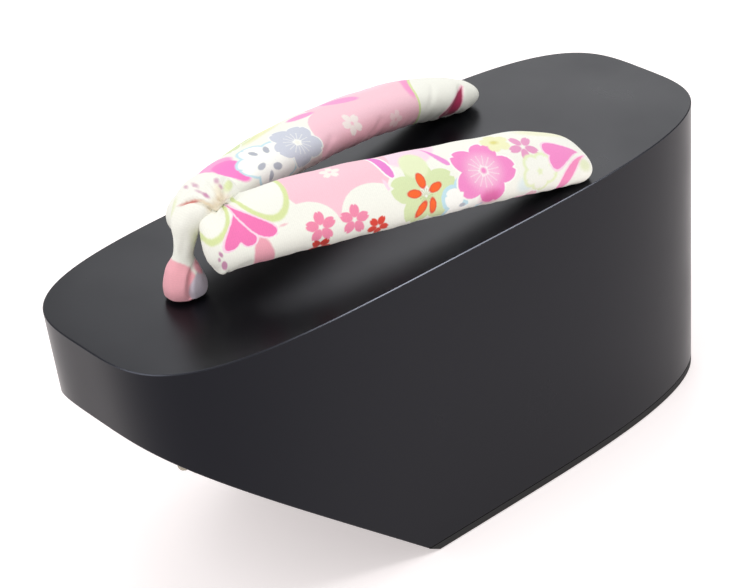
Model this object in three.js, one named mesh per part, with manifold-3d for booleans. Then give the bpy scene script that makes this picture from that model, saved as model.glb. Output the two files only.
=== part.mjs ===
// Okobo: a tall lacquered wooden sandal with a padded cloth thong.
// Millimetres. +Z is up, the toe points to -Y, and the origin is on the ground under the middle.
import * as THREE from 'three';
import { mergeVertices } from 'three/addons/utils/BufferGeometryUtils.js';
import Module from 'manifold-3d';

const wasm = await Module();
wasm.setup();

// Driving dimensions of the wooden block
const LENGTH = 240;
const WIDTH = 91;
const HEIGHT = 105;
const OUTLINE_STEPS = 88;
const SIDE_SQUARENESS = 3.6;
const TOE_SQUARENESS = 4.5;
const HEEL_SQUARENESS = 3.4;
const TOE_LEAN = 2.5;
const HEEL_LEAN = 0.5;
const SIDE_LEAN = 0.3;
const TOP_EDGE_RADIUS = 1;

// The toe half of the underside is cut away along one slanted plane
const SLANT_FOOT_Y = -29;
const SLANT_TOE_Z = 78;

// Rubber sheet under the ground face
const OUTSOLE_THICKNESS = 3;
const OUTSOLE_FRONT_Y = -27.5;
const OUTSOLE_WINDOW_MARGIN = 1;
const GAP = 0.3;

// Hollow carved up from the ground face
const HOLLOW_HALF_WIDTH = 37;
const HOLLOW_FRONT_Y = -12;
const HOLLOW_BACK_Y = 96;
const HOLLOW_CORNER = 6;
const TOP_PLATE = 25;

// Strap holes
const TOE_HOLE_Y = -81;
const TOE_HOLE_TILT = 11;
const SIDE_HOLE_X = 30;
const SIDE_HOLE_Y = 53;
const HOLE_RADIUS = 3.5;
const NECK_RADIUS = 4.6;
const NECK_HEIGHT = 4;
const ROUND_STEPS = 16;

// Cords that tie the straps under the wood
const CORD_RADIUS = 2.5;
const KNOT_RADIUS = 6.5;
const KNOT_HALF_HEIGHT = 4.5;
const TOE_KNOT_DROP = 1.6;

// Padded side straps: sections from the crossing at the toe to the rear end.
// y, x and z are the middle of the section, tilt is how far its outer edge hangs down.
const STRAP_STEPS = 40;
const SECTION_STEPS = 20;
const STRAP_FRONT_ROUND = 9;
const END_FLAT = 0.3;
const LEFT_STRAP = {
  rearRound: 9,
  sections: [
    { y: -80, x: 8.5, z: 123, halfWidth: 10, halfThickness: 7, tilt: 40 },
    { y: -70, x: 10.6, z: 125, halfWidth: 12.8, halfThickness: 7.1, tilt: 33 },
    { y: -49, x: 16.8, z: 125.3, halfWidth: 12.6, halfThickness: 7.3, tilt: 31 },
    { y: -28, x: 22.3, z: 124.3, halfWidth: 12.3, halfThickness: 7.5, tilt: 30 },
    { y: -8, x: 26.8, z: 122.2, halfWidth: 12, halfThickness: 7.6, tilt: 29 },
    { y: 13, x: 30.4, z: 119.1, halfWidth: 11.6, halfThickness: 7.7, tilt: 28 },
    { y: 33, x: 32.8, z: 115.2, halfWidth: 10.6, halfThickness: 7.4, tilt: 24 },
    { y: 46, x: 34, z: 112, halfWidth: 9.3, halfThickness: 6.3, tilt: 15 },
    { y: 56.5, x: 34.2, z: 109.6, halfWidth: 8.2, halfThickness: 4.8, tilt: 6 },
  ],
};
const RIGHT_STRAP = {
  rearRound: 6,
  sections: [
    { y: -75, x: 7.5, z: 123, halfWidth: 9, halfThickness: 6.4, tilt: 40 },
    { y: -67, x: 10.2, z: 124.2, halfWidth: 12.2, halfThickness: 6.8, tilt: 33 },
    { y: -49, x: 15.2, z: 124.3, halfWidth: 12.5, halfThickness: 7, tilt: 31 },
    { y: -28, x: 19.9, z: 123.4, halfWidth: 12.3, halfThickness: 7.2, tilt: 30 },
    { y: -8, x: 23.6, z: 121.6, halfWidth: 12, halfThickness: 7.5, tilt: 29 },
    { y: 13, x: 26.3, z: 118.9, halfWidth: 11.6, halfThickness: 7.7, tilt: 28 },
    { y: 34, x: 28.2, z: 115.4, halfWidth: 10.6, halfThickness: 7.6, tilt: 24 },
    { y: 51, x: 28.6, z: 111.4, halfWidth: 8.6, halfThickness: 6.4, tilt: 14 },
    { y: 64.5, x: 26.4, z: 108.6, halfWidth: 5.2, halfThickness: 3.6, tilt: 2 },
  ],
};

// Toe thong: up from the hole, over the crossing and down behind it, all on the middle plane
const THONG_STEPS = 34;
const THONG_END_ROUND = 4;
const THONG = [
  { y: -81, z: 101, halfWidth: 6.4, halfThickness: 6.4 },
  { y: -81, z: 109.5, halfWidth: 7.3, halfThickness: 7.2 },
  { y: -80.2, z: 116.5, halfWidth: 5.8, halfThickness: 5.2 },
  { y: -79.2, z: 124, halfWidth: 4.4, halfThickness: 4 },
  { y: -77.8, z: 130, halfWidth: 6, halfThickness: 4.6 },
  { y: -73.6, z: 134.2, halfWidth: 8, halfThickness: 4.8 },
  { y: -67.5, z: 134.2, halfWidth: 7.6, halfThickness: 4.2 },
  { y: -63.4, z: 129.5, halfWidth: 4.6, halfThickness: 3.6 },
  { y: -63.4, z: 121, halfWidth: 4.4, halfThickness: 3.6 },
  { y: -68, z: 116.5, halfWidth: 4.4, halfThickness: 3.6 },
];

// Turns closed rings of points, bottom to top, into one closed surface
function loft(rings) {
  const count = rings[0].length;
  const points = rings.flat();
  const index = [];
  for (let row = 0; row < rings.length - 1; row++) {
    for (let i = 0; i < count; i++) {
      const a = row * count + i;
      const b = row * count + (i + 1) % count;
      index.push(a, b, b + count, a, b + count, a + count);
    }
  }
  for (const [row, flip] of [[0, true], [rings.length - 1, false]]) {
    const middle = new THREE.Vector3();
    rings[row].forEach((point) => middle.add(point));
    points.push(middle.divideScalar(count));
    for (let i = 0; i < count; i++) {
      const a = row * count + i;
      const b = row * count + (i + 1) % count;
      index.push(points.length - 1, flip ? b : a, flip ? a : b);
    }
  }
  const geometry = new THREE.BufferGeometry();
  geometry.setAttribute('position', new THREE.Float32BufferAttribute(points.flatMap((p) => [p.x, p.y, p.z]), 3));
  geometry.setIndex(index);
  return geometry;
}

// Hands a closed three.js geometry to the boolean library
function solid(geometry) {
  const bare = geometry.clone();
  bare.deleteAttribute('normal');
  bare.deleteAttribute('uv');
  const merged = mergeVertices(bare, 1e-4);
  return new wasm.Manifold(new wasm.Mesh({
    numProp: 3,
    vertProperties: new Float32Array(merged.attributes.position.array),
    triVerts: new Uint32Array(merged.index.array),
  }));
}

// Brings a boolean result back as a three.js geometry
function surface(shape) {
  const mesh = shape.getMesh();
  const geometry = new THREE.BufferGeometry();
  geometry.setAttribute('position', new THREE.Float32BufferAttribute(mesh.vertProperties, 3));
  geometry.setIndex([...mesh.triVerts]);
  geometry.computeVertexNormals();
  return geometry;
}

// A rounded outline: a superellipse, squarer at the toe than at the heel
function outlinePoint(angle, inset) {
  const c = Math.cos(angle);
  const s = Math.sin(angle);
  const squareness = s < 0 ? TOE_SQUARENESS : HEEL_SQUARENESS;
  const x = Math.sign(c) * Math.abs(c) ** (2 / SIDE_SQUARENESS) * (WIDTH / 2 - inset);
  const y = Math.sign(s) * Math.abs(s) ** (2 / squareness) * (LENGTH / 2 - inset);
  return [x, y];
}

// The block's outline at a height, with its walls leaning in a little towards the ground
function blockRing(z, inset) {
  const depth = HEIGHT - z;
  const lean = (degrees) => depth * Math.tan(THREE.MathUtils.degToRad(degrees));
  return Array.from({ length: OUTLINE_STEPS }, (_, i) => {
    const [x, y] = outlinePoint(2 * Math.PI * i / OUTLINE_STEPS, inset);
    const endLean = lean(y < 0 ? TOE_LEAN : HEEL_LEAN);
    return new THREE.Vector3(
      x * (1 - lean(SIDE_LEAN) / (WIDTH / 2)),
      y * (1 - endLean / (LENGTH / 2)),
      z,
    );
  });
}

// A prism along X from its outline in Y and Z, wide enough to cut the whole block
function sideCutter(outline) {
  const shape = new THREE.Shape(outline.map(([y, z]) => new THREE.Vector2(y, z)));
  const geometry = new THREE.ExtrudeGeometry(shape, { depth: 2 * WIDTH, bevelEnabled: false });
  geometry.translate(0, 0, -WIDTH);
  geometry.applyMatrix4(new THREE.Matrix4().makeBasis(
    new THREE.Vector3(0, 1, 0),
    new THREE.Vector3(0, 0, 1),
    new THREE.Vector3(1, 0, 0),
  ));
  return solid(geometry);
}

// The height of the slanted underside at a place along the block
const SLANT_SLOPE = SLANT_TOE_Z / (SLANT_FOOT_Y + LENGTH / 2);

function slantHeight(y) {
  return SLANT_SLOPE * (SLANT_FOOT_Y - y);
}

// How far down the tilted toe hole its middle line meets the slanted underside
function toeHoleLength() {
  const tilt = THREE.MathUtils.degToRad(TOE_HOLE_TILT);
  return (HEIGHT - slantHeight(TOE_HOLE_Y)) / (Math.cos(tilt) + SLANT_SLOPE * Math.sin(tilt));
}

// Moves a piece made along Z, with its top at zero, to a strap hole in the top of the block
function atHole(geometry, x, y, tiltDegrees) {
  geometry.rotateX(-THREE.MathUtils.degToRad(tiltDegrees));
  geometry.translate(x, y, HEIGHT);
  return geometry;
}

// A round cutter for a strap hole, reaching past both of its mouths
function holeCutter(x, y, depth, tiltDegrees) {
  const geometry = new THREE.CylinderGeometry(HOLE_RADIUS, HOLE_RADIUS, 2 * depth, ROUND_STEPS);
  geometry.rotateX(Math.PI / 2);
  return solid(atHole(geometry, x, y, tiltDegrees));
}

// The carved hollow, and the matching window in the rubber sheet when grown a little
function hollowCutter(low, high, grow) {
  const halfWidth = HOLLOW_HALF_WIDTH + grow;
  const front = HOLLOW_FRONT_Y - grow;
  const back = HOLLOW_BACK_Y + grow;
  const r = HOLLOW_CORNER;
  const shape = new THREE.Shape();
  shape.moveTo(-halfWidth + r, front);
  shape.lineTo(halfWidth - r, front);
  shape.absarc(halfWidth - r, front + r, r, -Math.PI / 2, 0);
  shape.lineTo(halfWidth, back - r);
  shape.absarc(halfWidth - r, back - r, r, 0, Math.PI / 2);
  shape.lineTo(-halfWidth + r, back);
  shape.absarc(-halfWidth + r, back - r, r, Math.PI / 2, Math.PI);
  shape.lineTo(-halfWidth, front + r);
  shape.absarc(-halfWidth + r, front + r, r, Math.PI, 1.5 * Math.PI);
  const geometry = new THREE.ExtrudeGeometry(shape, { depth: high - low, bevelEnabled: false, curveSegments: 4 });
  geometry.translate(0, 0, low);
  return solid(geometry);
}

// Wooden block, open underneath, with three strap holes
function makeBlock() {
  const edgeDrop = TOP_EDGE_RADIUS * (1 - Math.SQRT1_2);
  let body = solid(loft([
    blockRing(OUTSOLE_THICKNESS, 0),
    blockRing(HEIGHT - TOP_EDGE_RADIUS, 0),
    blockRing(HEIGHT - edgeDrop, edgeDrop),
    blockRing(HEIGHT, TOP_EDGE_RADIUS),
  ]));
  const under = -LENGTH;
  body = body.subtract(sideCutter([
    [-LENGTH, under],
    [SLANT_FOOT_Y, under],
    [SLANT_FOOT_Y, slantHeight(SLANT_FOOT_Y)],
    [-LENGTH, slantHeight(-LENGTH)],
  ]));
  body = body.subtract(hollowCutter(-1, HEIGHT - TOP_PLATE, 0));
  body = body.subtract(holeCutter(0, TOE_HOLE_Y, toeHoleLength() + 2 * HOLE_RADIUS, TOE_HOLE_TILT));
  body = body.subtract(holeCutter(SIDE_HOLE_X, SIDE_HOLE_Y, TOP_PLATE + 1, 0));
  body = body.subtract(holeCutter(-SIDE_HOLE_X, SIDE_HOLE_Y, TOP_PLATE + 1, 0));
  return surface(body);
}

// Thin rubber sheet, with its front edge bevelled below the slanted wood
function makeOutsole() {
  const top = OUTSOLE_THICKNESS - GAP;
  const topFrontY = SLANT_FOOT_Y - top / SLANT_SLOPE;
  let sheet = solid(loft([blockRing(0, 0), blockRing(top, 0)]));
  sheet = sheet.subtract(sideCutter([
    [-LENGTH, -1],
    [OUTSOLE_FRONT_Y, -1],
    [OUTSOLE_FRONT_Y, 0],
    [topFrontY, top],
    [topFrontY, HEIGHT],
    [-LENGTH, HEIGHT],
  ]));
  return surface(sheet.subtract(hollowCutter(-1, HEIGHT, OUTSOLE_WINDOW_MARGIN)));
}

// An oval ring in the plane across a path
function ovalRing(centre, tangent, across, halfWidth, halfThickness, steps) {
  const wide = across.clone().addScaledVector(tangent, -across.dot(tangent)).normalize();
  const thick = new THREE.Vector3().crossVectors(tangent, wide);
  return Array.from({ length: steps }, (_, i) => {
    const angle = 2 * Math.PI * i / steps;
    return centre.clone()
      .addScaledVector(wide, halfWidth * Math.cos(angle))
      .addScaledVector(thick, halfThickness * Math.sin(angle));
  });
}

// Reads a named column along a table, smoothly, at a place from 0 to 1
function column(table, name, t) {
  const curve = new THREE.CatmullRomCurve3(table.map((row) => new THREE.Vector3(row[name], 0, 0)));
  return curve.getPoint(t).x;
}

// How much a section has shrunk near a rounded end
function endFactor(distance, round) {
  const u = Math.min(1, distance / round);
  return Math.max(END_FLAT, Math.sqrt(1 - (1 - u) ** 2));
}

// One padded side strap, with rounded ends; side is 1 for the wearer's left and -1 for the right
function makeSideStrap(strap, side) {
  const rows = strap.sections;
  const path = new THREE.CatmullRomCurve3(rows.map((row) => new THREE.Vector3(side * row.x, row.y, row.z)));
  const length = path.getLength();
  const rings = [];
  for (let step = 0; step <= STRAP_STEPS; step++) {
    const t = 0.5 - 0.5 * Math.cos(Math.PI * step / STRAP_STEPS);
    const distance = t * length;
    const shrink = endFactor(distance, STRAP_FRONT_ROUND) * endFactor(length - distance, strap.rearRound);
    const tilt = THREE.MathUtils.degToRad(column(rows, 'tilt', t));
    const across = new THREE.Vector3(side * Math.cos(tilt), 0, -Math.sin(tilt));
    rings.push(ovalRing(
      path.getPoint(t),
      path.getTangent(t),
      across,
      shrink * column(rows, 'halfWidth', t),
      shrink * column(rows, 'halfThickness', t),
      SECTION_STEPS,
    ));
  }
  return solid(loft(rings));
}

// The toe thong, from its bulb on the wood over the crossing of the side straps
function makeThong() {
  const path = new THREE.CatmullRomCurve3(THONG.map((row) => new THREE.Vector3(0, row.y, row.z)));
  const length = path.getLength();
  const rings = [];
  for (let step = 0; step <= THONG_STEPS; step++) {
    const t = step / THONG_STEPS;
    const distance = t * length;
    const shrink = endFactor(distance, THONG_END_ROUND) * endFactor(length - distance, THONG_END_ROUND);
    rings.push(ovalRing(
      path.getPoint(t),
      path.getTangent(t),
      new THREE.Vector3(1, 0, 0),
      shrink * column(THONG, 'halfWidth', t),
      shrink * column(THONG, 'halfThickness', t),
      ROUND_STEPS,
    ));
  }
  return solid(loft(rings));
}

// The short neck that joins a side strap's rear end to its hole
function makeNeck(side) {
  const geometry = new THREE.CylinderGeometry(NECK_RADIUS, NECK_RADIUS, 2 * NECK_HEIGHT, ROUND_STEPS);
  geometry.rotateX(Math.PI / 2);
  geometry.translate(side * SIDE_HOLE_X, SIDE_HOLE_Y, HEIGHT);
  return solid(geometry);
}

// Both side straps and the toe thong, joined where they cross, kept just clear of the wood
function makeStraps() {
  const joined = makeSideStrap(LEFT_STRAP, 1)
    .add(makeSideStrap(RIGHT_STRAP, -1))
    .add(makeThong())
    .add(makeNeck(1))
    .add(makeNeck(-1));
  const below = new THREE.BoxGeometry(2 * WIDTH, 2 * LENGTH, HEIGHT);
  below.translate(0, 0, HEIGHT / 2 + GAP);
  return surface(joined.subtract(solid(below)));
}

// A cord down a hole of the given length, with its knot drawn up against the underside
function makeCord(x, y, holeLength, tiltDegrees) {
  const knotTop = -holeLength - GAP;
  const profile = [new THREE.Vector2(0, knotTop - 2 * KNOT_HALF_HEIGHT)];
  const knotSteps = 6;
  const neck = Math.asin(CORD_RADIUS / KNOT_RADIUS);
  for (let i = 1; i <= knotSteps; i++) {
    const angle = (Math.PI - neck) * i / knotSteps;
    profile.push(new THREE.Vector2(
      KNOT_RADIUS * Math.sin(angle),
      knotTop - KNOT_HALF_HEIGHT * (1 + Math.cos(angle)),
    ));
  }
  profile.push(new THREE.Vector2(CORD_RADIUS, -GAP));
  profile.push(new THREE.Vector2(0, -GAP));
  const geometry = new THREE.LatheGeometry(profile, ROUND_STEPS);
  geometry.rotateX(Math.PI / 2);
  return surface(solid(atHole(geometry, x, y, tiltDegrees)));
}

const materials = {
  lacquer: new THREE.MeshStandardMaterial({ color: 0x1d1d20, roughness: 0.32, metalness: 0 }),
  rubber: new THREE.MeshStandardMaterial({ color: 0x161617, roughness: 0.8, metalness: 0 }),
  printedCloth: new THREE.MeshStandardMaterial({ color: 0xf3c6d6, roughness: 0.9, metalness: 0 }),
  cord: new THREE.MeshStandardMaterial({ color: 0xb8b09c, roughness: 0.95, metalness: 0 }),
};

const okobo = new THREE.Group();

function addPiece(name, geometry, material) {
  const piece = new THREE.Mesh(geometry, material);
  piece.name = name;
  okobo.add(piece);
}

addPiece('block', makeBlock(), materials.lacquer);
addPiece('outsole', makeOutsole(), materials.rubber);
addPiece('straps', makeStraps(), materials.printedCloth);
addPiece('toe_cord', makeCord(0, TOE_HOLE_Y, toeHoleLength() + TOE_KNOT_DROP, TOE_HOLE_TILT), materials.cord);
addPiece('side_cord_left', makeCord(SIDE_HOLE_X, SIDE_HOLE_Y, TOP_PLATE, 0), materials.cord);
addPiece('side_cord_right', makeCord(-SIDE_HOLE_X, SIDE_HOLE_Y, TOP_PLATE, 0), materials.cord);

export default okobo;
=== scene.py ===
"""The looks of an okobo: a tall lacquered wooden sandal with a padded, printed cloth thong.

Sizes in the classes are millimetres in the sandal's own frame, toe towards -Y and +Z up,
and they become metres when a mesh is made.
"""

import logging  # noqa: E402
import math  # noqa: E402
from dataclasses import dataclass, field  # noqa: E402
from enum import Enum  # noqa: E402

import bmesh  # noqa: E402
import bpy  # noqa: E402
import numpy as np  # noqa: E402
from mathutils import Matrix, Vector  # noqa: E402


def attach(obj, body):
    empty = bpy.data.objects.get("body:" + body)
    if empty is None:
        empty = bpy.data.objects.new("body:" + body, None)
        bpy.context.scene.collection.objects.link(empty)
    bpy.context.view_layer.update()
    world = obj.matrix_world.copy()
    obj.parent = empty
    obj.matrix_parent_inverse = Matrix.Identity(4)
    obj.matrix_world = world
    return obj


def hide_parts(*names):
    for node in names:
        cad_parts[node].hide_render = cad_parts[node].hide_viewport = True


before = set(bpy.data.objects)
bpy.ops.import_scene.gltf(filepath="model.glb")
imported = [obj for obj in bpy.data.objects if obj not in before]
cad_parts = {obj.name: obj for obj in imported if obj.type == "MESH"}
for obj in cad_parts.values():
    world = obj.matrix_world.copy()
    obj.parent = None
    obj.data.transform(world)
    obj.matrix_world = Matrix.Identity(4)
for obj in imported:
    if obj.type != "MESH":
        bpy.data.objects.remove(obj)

log = logging.getLogger("okobo")

MM = 0.001
ROOT = "root"


# Colours and small helpers


class Dye(Enum):
    """The printed cloth's inks and grounds, some of them also used as painted shade on the cloth, and the other
    colours of the sandal, as sRGB hex.
    """

    CREAM = "#f6f6ec"
    WHITE = "#fcfcf6"
    FIELD_PINK = "#f9cad6"
    BLUSH = "#fbdcea"
    ROSE = "#f1a9b8"
    BULB_PINK = "#fbb4be"
    PETAL_PINK = "#f48fae"
    HOT_PINK = "#f67cb8"
    MAGENTA = "#f48fca"
    # deeper magenta print together with painted shade on the lower side of the big blossom
    DEEP_MAGENTA_AND_PAINTED_SHADE = "#d5468f"
    LIGHT_MAGENTA = "#f4a2d4"
    PATCH_MAGENTA = "#fb7fc8"
    STRIPE = "#ec86d2"
    PLUM = "#c0669f"
    RED = "#d23a30"
    VERMILION = "#e2483a"
    ORANGE = "#fa6a30"
    WINE = "#a02c52"
    LIME = "#dbe6a6"
    PALE_GREEN = "#dae7b4"
    PALER_GREEN = "#e8f0c6"
    LEAF = "#b4c48a"
    YELLOW = "#f0f0c2"
    OCHRE = "#e0da84"
    SKY = "#c4e4ee"
    SLATE = "#ced2de"
    GREY_INK = "#b4b8c2"
    LILAC = "#d2c8d4"
    ORCHID = "#e8a0c6"
    # tan that is partly the cloth's own colour and partly painted shade in the creases by the pinch
    STRAW_AND_CREASE_SHADE = "#ecdcbc"
    LACQUER = "#0a0a0e"
    RUBBER = "#131314"
    CORD = "#b6b0a0"
    CORD_SHADE = "#8f897b"
    FLOOR = "#efeaea"
    TABLE_LIGHT = "#fff6f5"
    LACQUER_SHEEN = "#e6ebff"


def linear(hex_colour: str) -> tuple[float, float, float, float]:
    """Turns an sRGB hex colour to linear light.

    Args:
        hex_colour: the colour as "#rrggbb".

    Returns:
        Red, green, blue and an alpha of one.
    """
    parts = [int(hex_colour[i : i + 2], 16) / 255 for i in (1, 3, 5)]
    light = [c / 12.92 if c <= 0.04045 else ((c + 0.055) / 1.055) ** 2.4 for c in parts]
    return (*light, 1.0)


def add_node(
    tree: bpy.types.NodeTree, kind: str, settings: dict | None = None, links: dict | None = None
) -> bpy.types.Node:
    """Adds one node with its settings and links.

    Args:
        tree: the node tree that takes the node.
        kind: the node's type name.
        settings: attributes by name, or input values by socket name or number.
        links: output sockets by the name or number of the input that each one feeds.

    Returns:
        The new node.
    """
    node = tree.nodes.new(kind)
    for key, value in (settings or {}).items():
        if isinstance(key, str) and hasattr(node, key):
            setattr(node, key, value)
        else:
            node.inputs[key].default_value = value
    for key, socket in (links or {}).items():
        tree.links.new(socket, node.inputs[key])
    return node


def smooth(value: np.ndarray) -> np.ndarray:
    """Eases a share from 0 to 1 with flat ends."""
    share = np.clip(value, 0, 1)
    return share * share * (3 - 2 * share)


def unit(vectors: np.ndarray) -> np.ndarray:
    """Scales vectors along the last axis to length one."""
    return vectors / np.maximum(np.linalg.norm(vectors, axis=-1, keepdims=True), 1e-12)


def through(points: np.ndarray, share: np.ndarray) -> np.ndarray:
    """Follows a smooth curve through rows of numbers.

    Args:
        points: the rows, one for each station.
        share: places along the rows, from 0 to 1.

    Returns:
        The rows read at those places.
    """
    rows = np.asarray(points, float)
    last = len(rows) - 1
    at = np.clip(np.asarray(share), 0, 1) * last
    k = np.minimum(at.astype(int), last - 1)
    t = (at - k)[..., None]
    padded = np.vstack([2 * rows[0] - rows[1], rows, 2 * rows[-1] - rows[-2]])
    a, b, c, d = (padded[k + i] for i in range(4))
    return 0.5 * (2 * b + (c - a) * t + (2 * a - 5 * b + 4 * c - d) * t**2 + (3 * b - a - 3 * c + d) * t**3)


def make_object(name: str, verts: np.ndarray, faces: list, uv: np.ndarray | None = None) -> bpy.types.Object:
    """Makes a smooth-shaded mesh object.

    Args:
        name: the piece's name.
        verts: corner points in millimetres.
        faces: the corner numbers of each face.
        uv: for each face corner in order, its place on the cloth in millimetres.

    Returns:
        The linked object.
    """
    mesh = bpy.data.meshes.new(name)
    mesh.from_pydata((np.asarray(verts) * MM).tolist(), [], faces)
    mesh.validate(clean_customdata=False)
    if uv is not None:
        layer = mesh.uv_layers.new(name="Cloth")
        layer.data.foreach_set("uv", np.asarray(uv, np.float32).ravel())
    mesh.shade_smooth()
    obj = bpy.data.objects.new(name, mesh)
    bpy.context.scene.collection.objects.link(obj)
    return obj


def ring_faces(rings: int, count: int) -> tuple[list, list]:
    """Joins rings of points into a closed tube with a point at each end.

    Args:
        rings: how many rings there are.
        count: how many points each ring has.

    Returns:
        The faces, and for each face corner its (ring, place round the ring), unwrapped at the seam.
        The two end points come after the rings' points.
    """
    faces, corners = [], []
    for r in range(rings - 1):
        for i in range(count):
            j = (i + 1) % count
            faces.append((r * count + i, r * count + j, (r + 1) * count + j, (r + 1) * count + i))
            corners += [(r, i), (r, i + 1), (r + 1, i + 1), (r + 1, i)]
    first, last = rings * count, rings * count + 1
    for i in range(count):
        j = (i + 1) % count
        faces.append((first, j, i))
        corners += [(0, i + 0.5), (0, i + 1), (0, i)]
        base = (rings - 1) * count
        faces.append((last, base + i, base + j))
        corners += [(rings - 1, i + 0.5), (rings - 1, i), (rings - 1, i + 1)]
    return faces, corners


# Finishes


@dataclass(frozen=True)
class SatinLacquer:
    """Black urethane lacquer sprayed on paulownia and rubbed to a satin gloss."""

    name: str = "satin_lacquer_on_paulownia"
    colour: Dye = Dye.LACQUER
    roughness: float = 0.3
    ior: float = 1.5
    specular: float = 0.2
    orange_peel_mm: float = 2.2

    def material(self) -> bpy.types.Material:
        """Returns the lacquer's material.

        The eye gets a deep black with blurred reflections, softly uneven where hands have touched it.
        """
        mat = bpy.data.materials.new(self.name)
        mat.use_nodes = True
        tree = mat.node_tree
        tree.nodes.clear()
        place = add_node(tree, "ShaderNodeTexCoord")
        haze = add_node(
            tree,
            "ShaderNodeTexNoise",
            {"Scale": 1 / (38 * MM), "Detail": 4.0, "Roughness": 0.55},
            {"Vector": place.outputs["Object"]},
        )
        gloss = add_node(
            tree,
            "ShaderNodeMapRange",
            {"From Min": 0.3, "From Max": 0.7, "To Min": self.roughness - 0.03, "To Max": self.roughness + 0.04},
            {"Value": haze.outputs["Fac"]},
        )
        peel = add_node(
            tree,
            "ShaderNodeTexNoise",
            {"Scale": 1 / (self.orange_peel_mm * MM), "Detail": 2.0, "Roughness": 0.5},
            {"Vector": place.outputs["Object"]},
        )
        bump = add_node(
            tree,
            "ShaderNodeBump",
            {"Strength": 0.05, "Distance": 0.05 * MM},
            {"Height": peel.outputs["Fac"]},
        )
        shader = add_node(
            tree,
            "ShaderNodeBsdfPrincipled",
            {"Base Color": linear(self.colour.value), "IOR": self.ior, "Specular IOR Level": self.specular, "Specular Tint": linear(Dye.LACQUER_SHEEN.value)},
            {"Roughness": gloss.outputs["Result"], "Normal": bump.outputs["Normal"]},
        )
        add_node(tree, "ShaderNodeOutputMaterial", links={"Surface": shader.outputs["BSDF"]})
        return mat


@dataclass(frozen=True)
class RubberSheet:
    """Black styrene-butadiene rubber, calendered to a matte sheet."""

    colour: Dye = Dye.RUBBER
    roughness: float = 0.75
    grain_mm: float = 0.8

    def material(self) -> bpy.types.Material:
        """Returns the rubber's material, which gives the eye a dull, faintly pebbled edge."""
        mat = bpy.data.materials.new("calendered_rubber_sheet")
        mat.use_nodes = True
        tree = mat.node_tree
        tree.nodes.clear()
        place = add_node(tree, "ShaderNodeTexCoord")
        grain = add_node(
            tree,
            "ShaderNodeTexNoise",
            {"Scale": 1 / (self.grain_mm * MM), "Detail": 3.0},
            {"Vector": place.outputs["Object"]},
        )
        bump = add_node(
            tree,
            "ShaderNodeBump",
            {"Strength": 0.3, "Distance": 0.1 * MM},
            {"Height": grain.outputs["Fac"]},
        )
        shader = add_node(
            tree,
            "ShaderNodeBsdfPrincipled",
            {"Base Color": linear(self.colour.value), "Roughness": self.roughness},
            {"Normal": bump.outputs["Normal"]},
        )
        add_node(tree, "ShaderNodeOutputMaterial", links={"Surface": shader.outputs["BSDF"]})
        return mat


@dataclass(frozen=True)
class CottonCord:
    """Unbleached cotton cord, twisted from thick strands."""

    colour: Dye = Dye.CORD
    strand_mm: float = 0.9

    def material(self) -> bpy.types.Material:
        """Returns the cord's material, which gives the eye slanting strands with shade between them."""
        mat = bpy.data.materials.new("twisted_cotton_cord")
        mat.use_nodes = True
        tree = mat.node_tree
        tree.nodes.clear()
        place = add_node(tree, "ShaderNodeTexCoord")
        strands = add_node(
            tree,
            "ShaderNodeTexWave",
            {"bands_direction": "DIAGONAL", "Scale": 0.3 / (self.strand_mm * MM), "Distortion": 2.0},
            {"Vector": place.outputs["Object"]},
        )
        shade = add_node(
            tree,
            "ShaderNodeMix",
            {"data_type": "RGBA", 6: linear(Dye.CORD_SHADE.value), 7: linear(self.colour.value)},
            {0: strands.outputs["Fac"]},
        )
        bump = add_node(
            tree,
            "ShaderNodeBump",
            {"Strength": 0.6, "Distance": 0.3 * MM},
            {"Height": strands.outputs["Fac"]},
        )
        shader = add_node(
            tree,
            "ShaderNodeBsdfPrincipled",
            {"Roughness": 0.95},
            {"Base Color": shade.outputs[2], "Normal": bump.outputs["Normal"]},
        )
        add_node(tree, "ShaderNodeOutputMaterial", links={"Surface": shader.outputs["BSDF"]})
        return mat


class Shape(Enum):
    """The shapes that the print's stencils are cut to."""

    BLOSSOM = "blossom"
    OVAL = "oval"
    PETAL = "petal"
    SPOKES = "spokes"


@dataclass(frozen=True)
class Motif:
    """One printed shape, placed on the cloth in millimetres along and round the strap.

    An oval's size is its half lengths along its own two axes. A blossom's is its radius and its
    petals' half width as a share of it. A petal starts at its point, and its size is its length
    and half width. Spokes have their outer radius and half width. The turn is in degrees from
    the strap's length towards its lower side.
    """

    shape: Shape
    place: tuple[float, float]
    size: tuple[float, float]
    turn: float
    ink: Dye
    rim: Dye | None = None
    rim_width: float = 0.6
    notch: float = 0.0
    bend: float = 0.0
    soft: float = 0.22
    strength: float = 1.0


def group_tree(name: str, inputs: dict[str, str], outputs: list[str]) -> tuple:
    """Starts a node group.

    Args:
        name: the group's name.
        inputs: the socket kind of each input, by name.
        outputs: the names of its number outputs.

    Returns:
        The group with its input and output nodes.
    """
    tree = bpy.data.node_groups.new(name, "ShaderNodeTree")
    for key, kind in inputs.items():
        tree.interface.new_socket(key, in_out="INPUT", socket_type=f"NodeSocket{kind}")
    for key in outputs:
        tree.interface.new_socket(key, in_out="OUTPUT", socket_type="NodeSocketFloat")
    return tree, tree.nodes.new("NodeGroupInput"), tree.nodes.new("NodeGroupOutput")


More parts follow.
